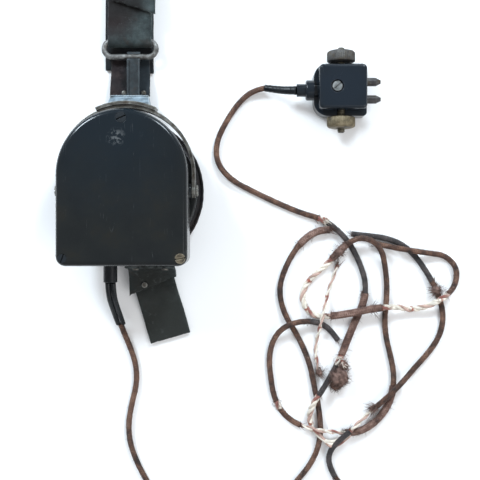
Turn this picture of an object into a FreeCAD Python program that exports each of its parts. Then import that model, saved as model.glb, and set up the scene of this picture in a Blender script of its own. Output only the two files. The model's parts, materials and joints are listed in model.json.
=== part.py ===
import FreeCAD, Part
import math
import os

from FreeCAD import Vector

# A leather-strap aviation headset, laid out flat with both ear cushions down, in millimetres.
# Origin: on the ear axis of the right unit, at the level where its cushion rests. +Y runs along
# the headband to the left unit, +Z points out of the front covers. The left unit is the mirror
# image of the right one about the middle of the headband.

# ---- driving dimensions -------------------------------------------------------------------
EAR_SPACING = 320.0          # ear axis to ear axis, along the laid-out headband
MID_Y = EAR_SPACING / 2

CASE_HALF_W = 30.2           # arch-shaped case: half width, also the arch radius
ARCH_Y = 6.6                 # height of the arch centre above the ear axis
CASE_BOTTOM_Y = -35.5
CASE_CORNER_R = 4.5
CASE_EDGE_R = 2.6
WALL = 2.2
CAP_R = 33.5                 # screwed ear cap
CUSHION_R = 36.5
CUSHION_HOLE_R = 15.5
BOSS_R = 30.4                # round boss on the back of the case that carries the cap
CAVITY_R = 25.5

CUSHION_Z = 8.35             # levels, from the resting face up
CAP_Z = (8.4, 15.0)
SHELF_Z = 11.5
BOSS_Z = 11.8
BACK_Z = 16.0
FLOOR_Z = 18.4
JOINT_Z = 26.5
FACE_Z = 40.5

COVER_SCREWS = [(0.0, 32.4, 2.4, 25.0), (-26.9, -32.0, 2.1, 70.0), (26.9, -32.0, 2.35, 10.0)]

MAGNET_Z = (22.0, 29.0)
MAGNET_OUT = 22.3
MAGNET_IN = 13.5
MAGNET_END_Y = -12.0
POLE_X = (2.2, 5.2)
POLE_HALF_Y = 6.0
INNER_SCREWS = [(-17.9, -6.0, 30.6), (17.9, -6.0, 30.6), (-12.5, -22.5, 23.8), (-2.9, -22.5, 23.8)]

PIVOT_Z = 19.5               # yoke hoop and its two pivots, on an axis through the ear axis
PIVOT_R = 1.3
RUNNING = 0.08
HOOP_Y = 8.0
HOOP_IN = 31.3
HOOP_OUT = 32.9
HOOP_H = 6.0
SADDLE_OUT = 34.6
SADDLE_HALF_ANGLE = 25.0

BAR_LOW_Y = 66.95            # wire loop: its two straight bars
BAR_TOP_Y = 74.65
BAR_Z = 5.6
WIRE_R = 1.35
LOOP_HALF_STRAIGHT = 8.95
HANGER_X = 1.8
HANGER_W = 6.2
HOOK_OPEN_Y = 65.6           # where the hanger's hook opens above the lower bar

RIVET_X = (-3.0, 6.6)
RIVET_Y = 49.1

STRAP_W = 21.4
STRAP_T = 1.5
FOLD_IN = 2.0

CORD_D = 2.8
STRAND_D = 1.6
GLAND_X = -7.7
GLAND_Z = 20.2

PLUG_Z = 10.0                # height of the plug's pins and studs
PLUG_TOP = 19.8
PIN_R = 2.05
PIN_SHANK_R = 1.7
PIN_Y = (45.2, 53.7)
FIT = 0.03                   # clearance round shanks that don't move
PIN_TIP_X = 122.9
STUD_X = 103.6
STUD_R = 1.9
NUT_T = 5.9
NUT_FACES = (63.1, 36.9)     # where the two thumb nuts' hubs meet the plug's sides

X_AXIS = Vector(1, 0, 0)
Y_AXIS = Vector(0, 1, 0)
Z_AXIS = Vector(0, 0, 1)


# ---- helpers ------------------------------------------------------------------------------
def box(x, y, z):
    """A block from three (low, high) pairs."""
    return Part.makeBox(x[1] - x[0], y[1] - y[0], z[1] - z[0], Vector(x[0], y[0], z[0]))


def rod(radius, start, end):
    """A round bar between two points."""
    a, b = Vector(*start), Vector(*end)
    return Part.makeCylinder(radius, (b - a).Length, a, b - a)


def cone(r0, r1, start, end):
    a, b = Vector(*start), Vector(*end)
    return Part.makeCone(r0, r1, (b - a).Length, a, b - a)


def fuse(shapes):
    """Joins touching solids into one."""
    shapes = list(shapes)
    return shapes[0].multiFuse(shapes[1:]).removeSplitter() if len(shapes) > 1 else shapes[0]


def cut(shape, tools):
    for tool in tools:
        shape = shape.cut(tool)
    return shape


def group(shapes):
    """Separate solids kept in one node."""
    return Part.makeCompound([solid for shape in shapes for solid in shape.Solids])


def prism(points, z0, z1):
    """A polygon in the XY plane raised from z0 to z1."""
    corners = [Vector(x, y, z0) for x, y in points]
    return Part.Face(Part.makePolygon(corners + corners[:1])).extrude(Vector(0, 0, z1 - z0))


def mirrored_x(shape):
    return shape.mirror(Vector(0, 0, 0), X_AXIS)


def case_outline(inset, z0, z1):
    """The arch-shaped outline, drawn in by inset, raised from z0 to z1."""
    half = CASE_HALF_W - inset
    bottom = CASE_BOTTOM_Y + inset
    corner = max(CASE_CORNER_R - inset, 1.0)
    diagonal = corner * (1 - math.sqrt(0.5))
    at = lambda x, y: Vector(x, y, z0)
    edges = [
        Part.Arc(at(half, ARCH_Y), at(0, ARCH_Y + half), at(-half, ARCH_Y)).toShape(),
        Part.LineSegment(at(-half, ARCH_Y), at(-half, bottom + corner)).toShape(),
        Part.Arc(at(-half, bottom + corner), at(-half + diagonal, bottom + diagonal),
                 at(-half + corner, bottom)).toShape(),
        Part.LineSegment(at(-half + corner, bottom), at(half - corner, bottom)).toShape(),
        Part.Arc(at(half - corner, bottom), at(half - diagonal, bottom + diagonal),
                 at(half, bottom + corner)).toShape(),
        Part.LineSegment(at(half, bottom + corner), at(half, ARCH_Y)).toShape(),
    ]
    return Part.Face(Part.Wire(edges)).extrude(Vector(0, 0, z1 - z0))


def soften(shape, radius, wanted):
    """Rounds the edges for which wanted(edge) is true."""
    return shape.makeFillet(radius, [edge for edge in shape.Edges if wanted(edge)])


def flat_at(z):
    return lambda edge: abs(edge.BoundBox.ZMin - z) < 1e-4 and abs(edge.BoundBox.ZMax - z) < 1e-4


def strip(path, thickness, x0, x1):
    """A strap: a line of (y, z) points given a thickness, and a width from x0 to x1."""
    points = [Vector(0, y, z) for y, z in path]
    ways = [(b - a).normalize() for a, b in zip(points, points[1:])]
    upper, lower = [], []
    for i, point in enumerate(points):
        before, after = ways[max(i - 1, 0)], ways[min(i, len(ways) - 1)]
        side = Vector(0, -(before.z + after.z), before.y + after.y).normalize()
        reach = thickness / 2 / side.dot(Vector(0, -after.z, after.y))
        upper.append(point + side * reach)
        lower.append(point - side * reach)
    ring = upper + lower[::-1]
    face = Part.Face(Part.makePolygon(ring + ring[:1]))
    face.translate(Vector(x0, 0, 0))
    return face.extrude(Vector(x1 - x0, 0, 0))


def slanted_cut(corner_a, corner_b, reach, away):
    """A block that trims everything on one side of the line through two (x, y) points."""
    a, b = Vector(*corner_a, 0), Vector(*corner_b, 0)
    along = (b - a).normalize()
    a, b = a - along * reach, b + along * reach
    shift = Vector(0, reach * away, 0)
    return prism([(p.x, p.y) for p in (a, b, b + shift, a + shift)], -5, 45)


def route_wire(route, name):
    """Straight runs joined by arcs, each as large as its two runs allow. Prints the radii."""
    points = [Vector(*p) for p in route]
    edges, radii, last = [], [], points[0]
    for before, corner, after in zip(points, points[1:], points[2:]):
        back, on = (before - corner), (after - corner)
        reach = 0.45 * min(back.Length, on.Length)
        turn = math.pi - back.getAngle(on)
        radius = reach / math.tan(turn / 2)
        start = corner + back.normalize() * reach
        end = corner + on.normalize() * reach
        inward = (back + on).normalize()
        centre_gap = math.hypot(radius, reach)
        middle = corner + inward * (centre_gap - radius)
        edges.append(Part.LineSegment(last, start).toShape())
        edges.append(Part.Arc(start, middle, end).toShape())
        radii.append(radius)
        last = end
    edges.append(Part.LineSegment(last, points[-1]).toShape())
    wire = Part.Wire(edges)
    print(name, "length", round(wire.Length, 1), "radii", [round(r, 1) for r in radii])
    return wire


def tube(route, diameter, name):
    """A cord's plain tube along its route."""
    wire = route_wire(route, name)
    start = Vector(*route[0])
    way = Vector(*route[1]) - start
    profile = Part.Wire([Part.makeCircle(diameter / 2, start, way)])
    solid = wire.makePipeShell([profile], True, False)
    section = math.pi * diameter ** 2 / 4
    print(name, "volume ratio", round(solid.Volume / (section * wire.Length), 4))
    return solid


# ---- receiver: case, magnet system, ear cap -----------------------------------------------
def front_cover():
    """Moulded shell with a rounded face edge, three screw posts and countersunk holes."""
    shell = soften(case_outline(0, JOINT_Z, FACE_Z), CASE_EDGE_R, flat_at(FACE_Z))
    shell = shell.cut(case_outline(WALL, JOINT_Z - 1, FACE_Z - WALL))
    posts = [rod(3.2, (x, y, JOINT_Z), (x, y, FACE_Z - WALL)) for x, y, _, _ in COVER_SCREWS]
    inside = case_outline(WALL / 2, JOINT_Z, FACE_Z - WALL)
    shell = fuse([shell] + [post.common(inside) for post in posts])
    for x, y, head_r, _ in COVER_SCREWS:
        hole = rod(1.3, (x, y, JOINT_Z - 1), (x, y, FACE_Z + 1))
        seat = cone(1.3, head_r + 0.05, (x, y, FACE_Z - 1.5), (x, y, FACE_Z - 0.3))
        mouth = rod(head_r + 0.05, (x, y, FACE_Z - 0.3), (x, y, FACE_Z + 1))
        shell = cut(shell, [hole, seat, mouth])
    return shell


def rear_case():
    """Shallow tray under the cover, with the round boss that holds diaphragm and cap."""
    tray = case_outline(0.15, BACK_Z, JOINT_Z)
    tray = tray.cut(case_outline(WALL + 0.2, FLOOR_Z, JOINT_Z + 1))
    posts = [rod(3.2, (x, y, FLOOR_Z), (x, y, JOINT_Z)) for x, y, _, _ in COVER_SCREWS]
    inside = case_outline(WALL / 2, FLOOR_Z, JOINT_Z)
    boss = rod(BOSS_R, (0, 0, BOSS_Z), (0, 0, BACK_Z)).cut(rod(CAVITY_R, (0, 0, BOSS_Z - 1), (0, 0, BACK_Z)))
    pads = [rod(3.4, (side * 29.0, 0, PIVOT_Z), (side * 30.9, 0, PIVOT_Z)) for side in (-1, 1)]
    tray = fuse([tray, boss] + pads + [post.common(inside) for post in posts])
    holes = [rod(11.5, (0, 0, BACK_Z - 1), (0, 0, FLOOR_Z + 1))]
    holes += [rod(1.2, (x, y, FLOOR_Z + 1), (x, y, JOINT_Z + 1)) for x, y, _, _ in COVER_SCREWS]
    holes += [rod(1.02, (side * 28.1, 0, PIVOT_Z), (side * 32, 0, PIVOT_Z)) for side in (-1, 1)]
    holes += [rod(2.4, (GLAND_X, CASE_BOTTOM_Y - 1, GLAND_Z), (GLAND_X, -30.5, GLAND_Z))]
    holes += [rod(1.12, (x, y, 16.8), (x, y, FLOOR_Z + 1)) for x, y, _ in INNER_SCREWS]
    holes += [rod(0.82, (x, -36.5, TAB_RIVET_Z), (x, -34.0, TAB_RIVET_Z)) for x in TAB_RIVET_X]
    return cut(tray, holes)


def cover_screws():
    """Three countersunk slotted screws."""
    screws = []
    for x, y, head_r, slot_angle in COVER_SCREWS:
        top = FACE_Z - 0.1
        head = fuse([cone(1.25, head_r, (x, y, FACE_Z - 1.5), (x, y, FACE_Z - 0.3)),
                     rod(head_r, (x, y, FACE_Z - 0.3), (x, y, top)),
                     rod(1.15, (x, y, 20.0), (x, y, FACE_Z - 1.5))])
        slot = box((-4, 4), (-0.3, 0.3), (top - 0.8, top + 1))
        slot.rotate(Vector(0, 0, 0), Z_AXIS, slot_angle)
        slot.translate(Vector(x, y, 0))
        screws.append(head.cut(slot))
    return group(screws)


def magnet():
    """Horseshoe magnet whose bend follows the arch of the case."""
    bend = rod(MAGNET_OUT, (0, ARCH_Y, MAGNET_Z[0]), (0, ARCH_Y, MAGNET_Z[1]))
    bend = bend.cut(rod(MAGNET_IN, (0, ARCH_Y, MAGNET_Z[0] - 1), (0, ARCH_Y, MAGNET_Z[1] + 1)))
    bend = bend.cut(box((-30, 30), (-30, ARCH_Y), (MAGNET_Z[0] - 1, MAGNET_Z[1] + 1)))
    legs = [box((low, high), (MAGNET_END_Y, ARCH_Y), MAGNET_Z)
            for low, high in ((MAGNET_IN, MAGNET_OUT), (-MAGNET_OUT, -MAGNET_IN))]
    holes = [rod(1.2, (x, y, 20), (x, y, 30)) for x, y, _ in INNER_SCREWS[:2]]
    return cut(fuse([bend] + legs), holes)


def pole_pieces():
    """Two soft-iron angles that lead the flux from the magnet's legs to the diaphragm."""
    foot = box((POLE_X[0], MAGNET_OUT - 1), (-10.0, POLE_HALF_Y), (19.2, MAGNET_Z[0]))
    shoe = box(POLE_X, (-POLE_HALF_Y, POLE_HALF_Y), (12.4, 19.2))
    hole = rod(1.2, (17.9, -6.0, 18), (17.9, -6.0, 23))
    angle = fuse([foot, shoe]).cut(hole)
    spacer = rod(2.6, (17.9, -6.0, FLOOR_Z), (17.9, -6.0, 19.2)).cut(hole)
    angle = fuse([angle, spacer])
    return group([angle, mirrored_x(angle)])


def coils():
    """One wound bobbin on each pole shoe."""
    winding = box((0.5, 7.2), (-7.9, 7.9), (13.3, 19.0))
    winding = soften(winding, 1.0, lambda edge: edge.BoundBox.ZLength > 5)
    winding = winding.cut(box((POLE_X[0] - 0.1, POLE_X[1] + 0.1), (-6.1, 6.1), (13, 20)))
    return group([winding, mirrored_x(winding)])


def terminal_block():
    """Small insulating block for the two conductors, behind the cord gland."""
    block = box((-16.2, 0.8), (-26.5, -18.5), (FLOOR_Z, 22.4))
    ridge = box((-8.5, -6.9), (-26.5, -18.5), (22.4, 24.0))
    holes = [rod(1.12, (x, y, 16), (x, y, 23)) for x, y, _ in INNER_SCREWS[2:]]
    return cut(fuse([block, ridge]), holes)


def inner_screws():
    """Two magnet screws and two terminal screws, all of one pattern."""
    screws = []
    for x, y, top in INNER_SCREWS:
        screw = fuse([rod(1.1, (x, y, 16.9), (x, y, top - 1.4)), rod(2.2, (x, y, top - 1.4), (x, y, top))])
        screws.append(screw.cut(box((x - 3, x + 3), (y - 0.3, y + 0.3), (top - 0.7, top + 1))))
    return group(screws)


def diaphragm():
    return rod(30.2, (0, 0, SHELF_Z + 0.02), (0, 0, BOSS_Z - 0.02))


def ear_cap():
    """Screw-on cap with a ring of sound holes."""
    cap = rod(CAP_R, (0, 0, CAP_Z[0]), (0, 0, CAP_Z[1]))
    cap = soften(cap, 0.9, flat_at(CAP_Z[1]))
    holes = [rod(BOSS_R + 0.15, (0, 0, SHELF_Z), (0, 0, CAP_Z[1] + 1)),
             rod(27.0, (0, 0, 10.6), (0, 0, SHELF_Z + 1)),
             rod(2.4, (0, 0, CAP_Z[0] - 1), (0, 0, 11))]
    for i in range(6):
        angle = math.radians(60 * i)
        x, y = 9.0 * math.cos(angle), 9.0 * math.sin(angle)
        holes.append(rod(2.4, (x, y, CAP_Z[0] - 1), (x, y, 11)))
    return cut(cap, holes)


def ear_cushion():
    """Soft ring, flat where it rests."""
    ring = rod(CUSHION_R, (0, 0, 0), (0, 0, CUSHION_Z)).cut(rod(CUSHION_HOLE_R, (0, 0, -1), (0, 0, 10)))
    ring = soften(ring, 3.4, flat_at(0.0))
    return soften(ring, 2.2, flat_at(CUSHION_Z))


def cord_gland():
    """Rubber collar in the bottom wall, with two holes for the conductors."""
    outer = rod(3.3, (GLAND_X, CASE_BOTTOM_Y, GLAND_Z), (GLAND_X, -43.8, GLAND_Z))
    outer = soften(outer, 0.5, lambda edge: edge.BoundBox.YMax < -43.7)
    neck = rod(2.35, (GLAND_X, CASE_BOTTOM_Y, GLAND_Z), (GLAND_X, -31.5, GLAND_Z))
    holes = [rod(0.85, (GLAND_X + dx, -45, GLAND_Z), (GLAND_X + dx, -31, GLAND_Z)) for dx in (-1.2, 1.2)]
    return cut(fuse([outer, neck]), holes)


# ---- yoke: hoop, saddle, bracket, hanger, leather backing --------------------------------
def ring_part(r_in, r_out, z0, z1):
    inside = rod(r_in, (0, HOOP_Y, z0 - 1), (0, HOOP_Y, z1 + 1))
    return rod(r_out, (0, HOOP_Y, z0), (0, HOOP_Y, z1)).cut(inside)


def yoke_hoop():
    """Thin metal hoop round the arch of the case, ending in two pivot lugs."""
    z0, z1 = PIVOT_Z - HOOP_H / 2, PIVOT_Z + HOOP_H / 2
    bow = ring_part(HOOP_IN, HOOP_OUT, z0, z1).cut(box((-40, 40), (-40, HOOP_Y), (z0 - 1, z1 + 1)))
    arm = fuse([box((HOOP_IN, HOOP_OUT), (0, HOOP_Y), (z0, z1)),
                rod(3.4, (HOOP_IN, 0, PIVOT_Z), (HOOP_OUT, 0, PIVOT_Z))])
    hoop = fuse([bow, arm, mirrored_x(arm)])
    return hoop.cut(rod(PIVOT_R + RUNNING, (-40, 0, PIVOT_Z), (40, 0, PIVOT_Z)))


def pivot_screws():
    """Shouldered screws that the hoop turns on."""
    head = rod(2.7, (33.1, 0, PIVOT_Z), (34.2, 0, PIVOT_Z))
    head = soften(head, 0.5, lambda edge: edge.BoundBox.XMin > 34.1)
    screw = fuse([head, rod(PIVOT_R, (30.95, 0, PIVOT_Z), (33.1, 0, PIVOT_Z)),
                  rod(1.0, (28.3, 0, PIVOT_Z), (30.95, 0, PIVOT_Z))])
    screw = screw.cut(box((33.7, 36), (-0.3, 0.3), (15, 24)))
    return group([screw, mirrored_x(screw)])


def yoke_saddle():
    """Curved plate on the crown of the hoop."""
    z0, z1 = PIVOT_Z - 4.0, PIVOT_Z + 4.0
    plate = ring_part(HOOP_OUT + 0.05, SADDLE_OUT, z0, z1)
    reach = 60.0
    side = reach * math.tan(math.radians(SADDLE_HALF_ANGLE))
    wedge = prism([(0, HOOP_Y), (side, HOOP_Y + reach), (-side, HOOP_Y + reach)], z0 - 1, z1 + 1)
    return plate.common(wedge)


def slider_bracket():
    """Cast bracket, wide at the saddle, with a tongue-shaped tang for the leather."""
    block = prism([(-10.7, 39.0), (10.7, 39.0), (9.3, 47.3), (-9.3, 47.3)], 2.9, 16.5)
    slope = strip([(41.0, 23.5), (50.0, 12.0)], 9.0, -12, 12)
    block = block.cut(slope).cut(rod(SADDLE_OUT + 0.05, (0, HOOP_Y, 0), (0, HOOP_Y, 30)))
    tang = box((-8.5, 8.5), (46.5, 51.2), (2.9, 3.9))
    slot = box((HANGER_X - HANGER_W / 2, HANGER_X + HANGER_W / 2), (44.3, 48), (7.02, 8.0))
    holes = [rod(0.75, (x, RIVET_Y, 2), (x, RIVET_Y, 5)) for x in RIVET_X]
    return cut(fuse([block, tang]), [slot] + holes)


def bracket_rivets():
    """Two round-headed rivets through leather and tang."""
    rivets = []
    for x in RIVET_X:
        head = soften(rod(1.3, (x, RIVET_Y, 5.1), (x, RIVET_Y, 6.0)), 0.6, flat_at(6.0))
        rivets.append(fuse([head, rod(0.72, (x, RIVET_Y, 2.4), (x, RIVET_Y, 5.1)),
                            rod(1.2, (x, RIVET_Y, 2.3), (x, RIVET_Y, 2.88))]))
    return group(rivets)


def strap_hanger():
    """Channel-section steel strip whose end hooks under the loop's lower bar, open above it."""
    x0, x1 = HANGER_X - HANGER_W / 2, HANGER_X + HANGER_W / 2
    eye_in, eye_out = WIRE_R + 0.07, 2.4
    web = box((x0, x1), (44.3, HOOK_OPEN_Y), (BAR_Z + eye_in, BAR_Z + eye_out))
    rails = [box(x, (47.6, HOOK_OPEN_Y - 0.6), (BAR_Z + eye_out, BAR_Z + eye_out + 0.8))
             for x in ((x0, x0 + 0.7), (x1 - 0.7, x1))]
    hook = rod(eye_out, (x0, BAR_LOW_Y, BAR_Z), (x1, BAR_LOW_Y, BAR_Z))
    mouth = box((x0 - 1, x1 + 1), (HOOK_OPEN_Y, BAR_LOW_Y + 5), (BAR_Z + 0.9, BAR_Z + 5))
    body = fuse([web, hook.cut(mouth)] + rails)
    return body.cut(rod(eye_in, (x0 - 1, BAR_LOW_Y, BAR_Z), (x1 + 1, BAR_LOW_Y, BAR_Z)))


def leather_backing():
    """Leather tongue between bracket and loop, under the hanger."""
    leather = strip([(47.4, 4.5), (52.0, 4.5), (58.0, 2.15), (66.3, 2.15)], 1.1, -10.2, 9.7)
    holes = [rod(0.75, (x, RIVET_Y, 3), (x, RIVET_Y, 6)) for x in RIVET_X]
    return cut(leather, holes)


def wire_loop():
    """Oval wire ring: one bar in the hanger's eye, the other in the strap's fold."""
    bars = [rod(WIRE_R, (-LOOP_HALF_STRAIGHT, y, BAR_Z), (LOOP_HALF_STRAIGHT, y, BAR_Z))
            for y in (BAR_LOW_Y, BAR_TOP_Y)]
    end_r = (BAR_TOP_Y - BAR_LOW_Y) / 2
    middle = (BAR_TOP_Y + BAR_LOW_Y) / 2
    ends = []
    for side in (-1, 1):
        ring = Part.makeTorus(end_r, WIRE_R, Vector(side * LOOP_HALF_STRAIGHT, middle, BAR_Z), Z_AXIS)
        keep = sorted((side * LOOP_HALF_STRAIGHT, side * 20.0))
        ends.append(ring.common(box(keep, (60, 80), (0, 12))))
    return fuse(bars + ends)


# ---- headband ------------------------------------------------------------------------------
def headband_strap():
    """One leather strap folded round both loops: a hidden end, a main layer and a top layer
    whose slanted free end lies back over the right-hand fold."""
    half = STRAP_W / 2
    middle = FOLD_IN + STRAP_T / 2
    low, high = BAR_Z - middle, BAR_Z + middle
    far = EAR_SPACING - BAR_TOP_Y
    hidden = strip([(BAR_TOP_Y, low), (84, low), (92, 2.25), (118, 2.25)], STRAP_T, -half, half)
    main = strip([(BAR_TOP_Y, high), (97, high), (126, 4.0), (140, 2.3), (228, 2.3), (236, low), (far, low)],
                 STRAP_T, -half, half)
    top = strip([(far, high), (224, high), (205, 4.0), (141, 4.0), (126, 5.75), (97.5, 10.05), (84, 10.05)],
                STRAP_T, -half + 0.4, half + 1.4)
    top = top.cut(slanted_cut((-10.3, 94.0), (12.1, 86.8), 2.0, -12))
    folds = []
    for y, keep in ((BAR_TOP_Y, (60, BAR_TOP_Y)), (far, (far, far + 20))):
        ring = rod(FOLD_IN + STRAP_T, (-half, y, BAR_Z), (half, y, BAR_Z))
        ring = ring.cut(rod(FOLD_IN, (-half - 1, y, BAR_Z), (half + 1, y, BAR_Z)))
        folds.append(ring.common(box((-30, 30), keep, (-5, 20))))
    return fuse([hidden, main, top] + folds)


def headband_lining():
    """Wider flat lining under the strap, with cut ends below the loops."""
    strap = box((-11.8, 11.1), (59.0, EAR_SPACING - 59.0), (0.2, 1.4))
    near_end = slanted_cut((-11.8, 60.9), (11.1, 59.2), 2.0, -10)
    far_end = slanted_cut((-11.8, EAR_SPACING - 60.9), (11.1, EAR_SPACING - 59.2), 2.0, 10)
    return cut(strap, [near_end, far_end])


# ---- chin strap ----------------------------------------------------------------------------
TAB_X = (-0.3, 23.0)
STUD_XY = (7.4, -45.6)
CHIN_AT = (11.4, -43.6)      # middle of the strap's top end
CHIN_ANGLE = 16.0
CHIN_W = 20.5
STUD_SHAFT_R = 0.98
TAB_RIVET_X = (4.5, 18.5)
TAB_RIVET_Z = 22.2


def chin_tab():
    """Leather tab riveted to the bottom wall, cut off at a slant."""
    path = [(-36.25, 25.6), (-36.25, 17.0), (-38.2, 11.6), (-42.0, 8.0), (-46.5, 6.6), (-53.0, 5.6)]
    tab = strip(path, 1.5, *TAB_X)
    tab = tab.cut(slanted_cut((0.7, -50.6), (23.0, -40.6), 3.0, -20))
    holes = [rod(0.82, (x, -40, TAB_RIVET_Z), (x, -34, TAB_RIVET_Z)) for x in TAB_RIVET_X]
    holes.append(rod(STUD_SHAFT_R + FIT, (*STUD_XY, 4), (*STUD_XY, 12)))
    return cut(tab, holes)


def chin_rivets():
    """Press stud that the chin strap turns on, and the tab's two rivets."""
    x, y = STUD_XY
    stud = fuse([rod(STUD_SHAFT_R, (x, y, 1.9), (x, y, 8.1)), rod(1.35, (x, y, 8.1), (x, y, 8.7)),
                 rod(2.1, (x, y, 1.5), (x, y, 2.3))])
    rivets = []
    for rivet_x in TAB_RIVET_X:
        at = lambda y: (rivet_x, y, TAB_RIVET_Z)
        rivets.append(fuse([rod(0.8, at(-37.02), at(-34.4)), rod(1.5, at(-37.8), at(-37.02))]))
    return group([stud] + rivets)


def chin_strap():
    """Short strap that hangs from the press stud."""
    half = CHIN_W / 2
    strap = strip([(4.6, 3.5), (-6.0, 3.5), (-15.0, 1.2), (-30.0, 1.2)], 1.5, -half, half)
    strap.rotate(Vector(0, 0, 0), Z_AXIS, CHIN_ANGLE)
    strap.translate(Vector(*CHIN_AT, 0))
    return strap.cut(rod(STUD_SHAFT_R + RUNNING, (*STUD_XY, 0), (*STUD_XY, 10)))


# ---- plug ----------------------------------------------------------------------------------
SCREW_XY = (100.9, 50.3)
GLAND_Y = 49.6


def plug_cuts():
    """Everything that sits in the plug's two halves, as tools to cut them with."""
    tools = [rod(PIN_SHANK_R + FIT, (106, y, PLUG_Z), (PIN_TIP_X, y, PLUG_Z)) for y in PIN_Y]
    tools += [rod(3.4, (106, y, PLUG_Z), (109, y, PLUG_Z)) for y in PIN_Y]
    tools += [rod(STUD_R, (STUD_X, 20, PLUG_Z), (STUD_X, 44.0, PLUG_Z)),
              rod(STUD_R, (STUD_X, 56.0, PLUG_Z), (STUD_X, 80, PLUG_Z)),
              rod(3.0, (80, GLAND_Y, PLUG_Z), (94.0, GLAND_Y, PLUG_Z)),
              rod(1.45, (*SCREW_XY, 2.0), (*SCREW_XY, 25)),
              rod(3.0, (*SCREW_XY, PLUG_TOP - 1.4), (*SCREW_XY, 25))]
    return tools


def plug_base():
    """Lower half, with a rounded cable end."""
    block = box((90.3, 116.2), (37.2, 62.8), (0.0, PLUG_Z))
    block = soften(block, 7.0, lambda e: e.BoundBox.ZLength > 9 and e.BoundBox.XMax < 91)
    block = soften(block, 2.0, lambda e: e.BoundBox.ZLength > 9 and e.BoundBox.XMin > 116)
    block = soften(block, 1.2, flat_at(0.0))
    return cut(block, plug_cuts())


def plug_lid():
    """Upper half, square with rounded edges."""
    block = box((92.3, 115.3), (39.6, 61.0), (PLUG_Z, PLUG_TOP))
    block = soften(block, 2.0, lambda e: e.BoundBox.ZLength > 9)
    block = soften(block, 1.6, flat_at(PLUG_TOP))
    return cut(block, plug_cuts())


def plug_screw():
    x, y = SCREW_XY
    head = rod(2.4, (x, y, PLUG_TOP - 1.4), (x, y, PLUG_TOP - 0.2))
    screw = fuse([head, rod(1.4, (x, y, 2.2), (x, y, PLUG_TOP - 1.4))])
    slot = box((-4, 4), (-0.35, 0.35), (PLUG_TOP - 0.9, 30))
    slot.rotate(Vector(0, 0, 0), Z_AXIS, 40)
    slot.translate(Vector(x, y, 0))
    return screw.cut(slot)


def plug_pins():
    """Two round contact pins with tapered tips."""
    pins = []
    for y in PIN_Y:
        tip = cone(PIN_R, 0.9, (PIN_TIP_X - 2.4, y, PLUG_Z), (PIN_TIP_X, y, PLUG_Z))
        contact = rod(PIN_R, (116.3, y, PLUG_Z), (PIN_TIP_X - 2.4, y, PLUG_Z))
        shank = rod(PIN_SHANK_R, (106, y, PLUG_Z), (116.3, y, PLUG_Z))
        pins.append(fuse([shank, contact, tip, rod(3.4, (106, y, PLUG_Z), (109, y, PLUG_Z))]))
    return group(pins)


def plug_studs():
    """Two threaded studs, one out of each side."""
    return group([rod(STUD_R, (STUD_X, 28.9, PLUG_Z), (STUD_X, 44.0, PLUG_Z)),
                  rod(STUD_R, (STUD_X, 56.0, PLUG_Z), (STUD_X, 70.4, PLUG_Z))])


def thumb_nut(hub_y, way):
    """Knurled thumb nut; way is +1 or -1 along Y, away from the plug."""
    at = lambda d: (STUD_X, hub_y + way * d, PLUG_Z)
    hub = rod(4.6, at(0), at(0.3))
    disc = rod(6.9, at(0.3), at(NUT_T))
    rim = hub_y + way * NUT_T
    disc = soften(disc, 1.0, lambda e: abs(e.BoundBox.YMin - rim) + abs(e.BoundBox.YMax - rim) < 0.01)
    return fuse([hub, disc]).cut(rod(STUD_R + 0.05, at(-1), at(8)))


def plug_gland():
    """Gland nut and collar where the cord enters the plug."""
    at = lambda x: (x, GLAND_Y, PLUG_Z)
    neck = rod(2.98, at(90.3), at(93.8))
    nut = soften(rod(4.9, at(86.2), at(90.3)), 1.0, lambda e: e.BoundBox.XMax < 86.3)
    body = fuse([neck, nut, rod(3.1, at(81.9), at(86.3))])
    return body.cut(rod(1.1, at(80), at(95)))


# ---- cords ---------------------------------------------------------------------------------
SLEEVE_ROUTE = [(GLAND_X, -43.8, GLAND_Z), (-7.6, -49.6, 18.6), (-7.0, -55.0, 13.2), (-6.0, -60.2, 7.6),
                (-4.9, -65.0, 3.9)]
PLUG_SLEEVE_ROUTE = [(81.9, GLAND_Y, PLUG_Z), (77.0, 49.8, 8.6), (72.0, 50.8, 5.6), (66.8, 51.9, 3.2)]

LOW = 1.5                    # centre height of a cord lying down, and of one that crosses over another
OVER = 4.75

LEG_ROUTE = [
    (-4.9, -65.0, 3.9), (-3.4, -70.0, 1.7), (-0.2, -77.5, LOW), (2.5, -86.0, LOW), (2.8, -95.0, LOW),
    (0.4, -104.5, LOW), (-1.3, -114.0, LOW), (-0.9, -123.5, LOW), (2.5, -133.5, LOW), (7.4, -143.0, LOW),
    (14.5, -154.5, LOW), (26.0, -163.8, LOW), (41.5, -168.0, LOW), (57.5, -165.0, LOW), (71.0, -156.0, LOW),
    (82.8, -143.5, LOW), (91.0, -133.0, LOW), (94.6, -121.5, LOW), (93.8, -108.5, LOW), (91.2, -96.5, LOW),
    (88.9, -84.5, LOW), (83.5, -72.0, LOW), (76.4, -61.0, LOW), (73.4, -49.0, LOW), (76.3, -38.0, LOW),
    (81.8, -28.0, LOW), (88.0, -21.5, LOW), (94.5, -18.4, LOW),
]
MAIN_ROUTE = [
    (66.8, 51.9, 3.2), (61.0, 51.2, 1.6), (53.5, 45.0, LOW), (46.6, 34.5, LOW), (42.2, 24.5, LOW),
    (42.7, 14.5, LOW), (50.0, 6.2, LOW), (61.0, 0.5, LOW), (73.0, -5.2, LOW), (85.0, -10.2, LOW),
    (94.0, -12.6, LOW), (100.2, -16.4, LOW), (105.6, -21.2, LOW), (110.3, -27.5, LOW), (114.3, -36.0, LOW),
    (117.0, -45.0, LOW), (116.0, -54.5, LOW), (112.0, -63.0, LOW), (108.2, -72.0, LOW), (104.8, -81.0, LOW),
    (100.4, -89.5, LOW), (95.4, -97.2, OVER), (90.2, -104.6, OVER), (88.4, -112.0, LOW), (90.2, -118.6, LOW),
]
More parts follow.
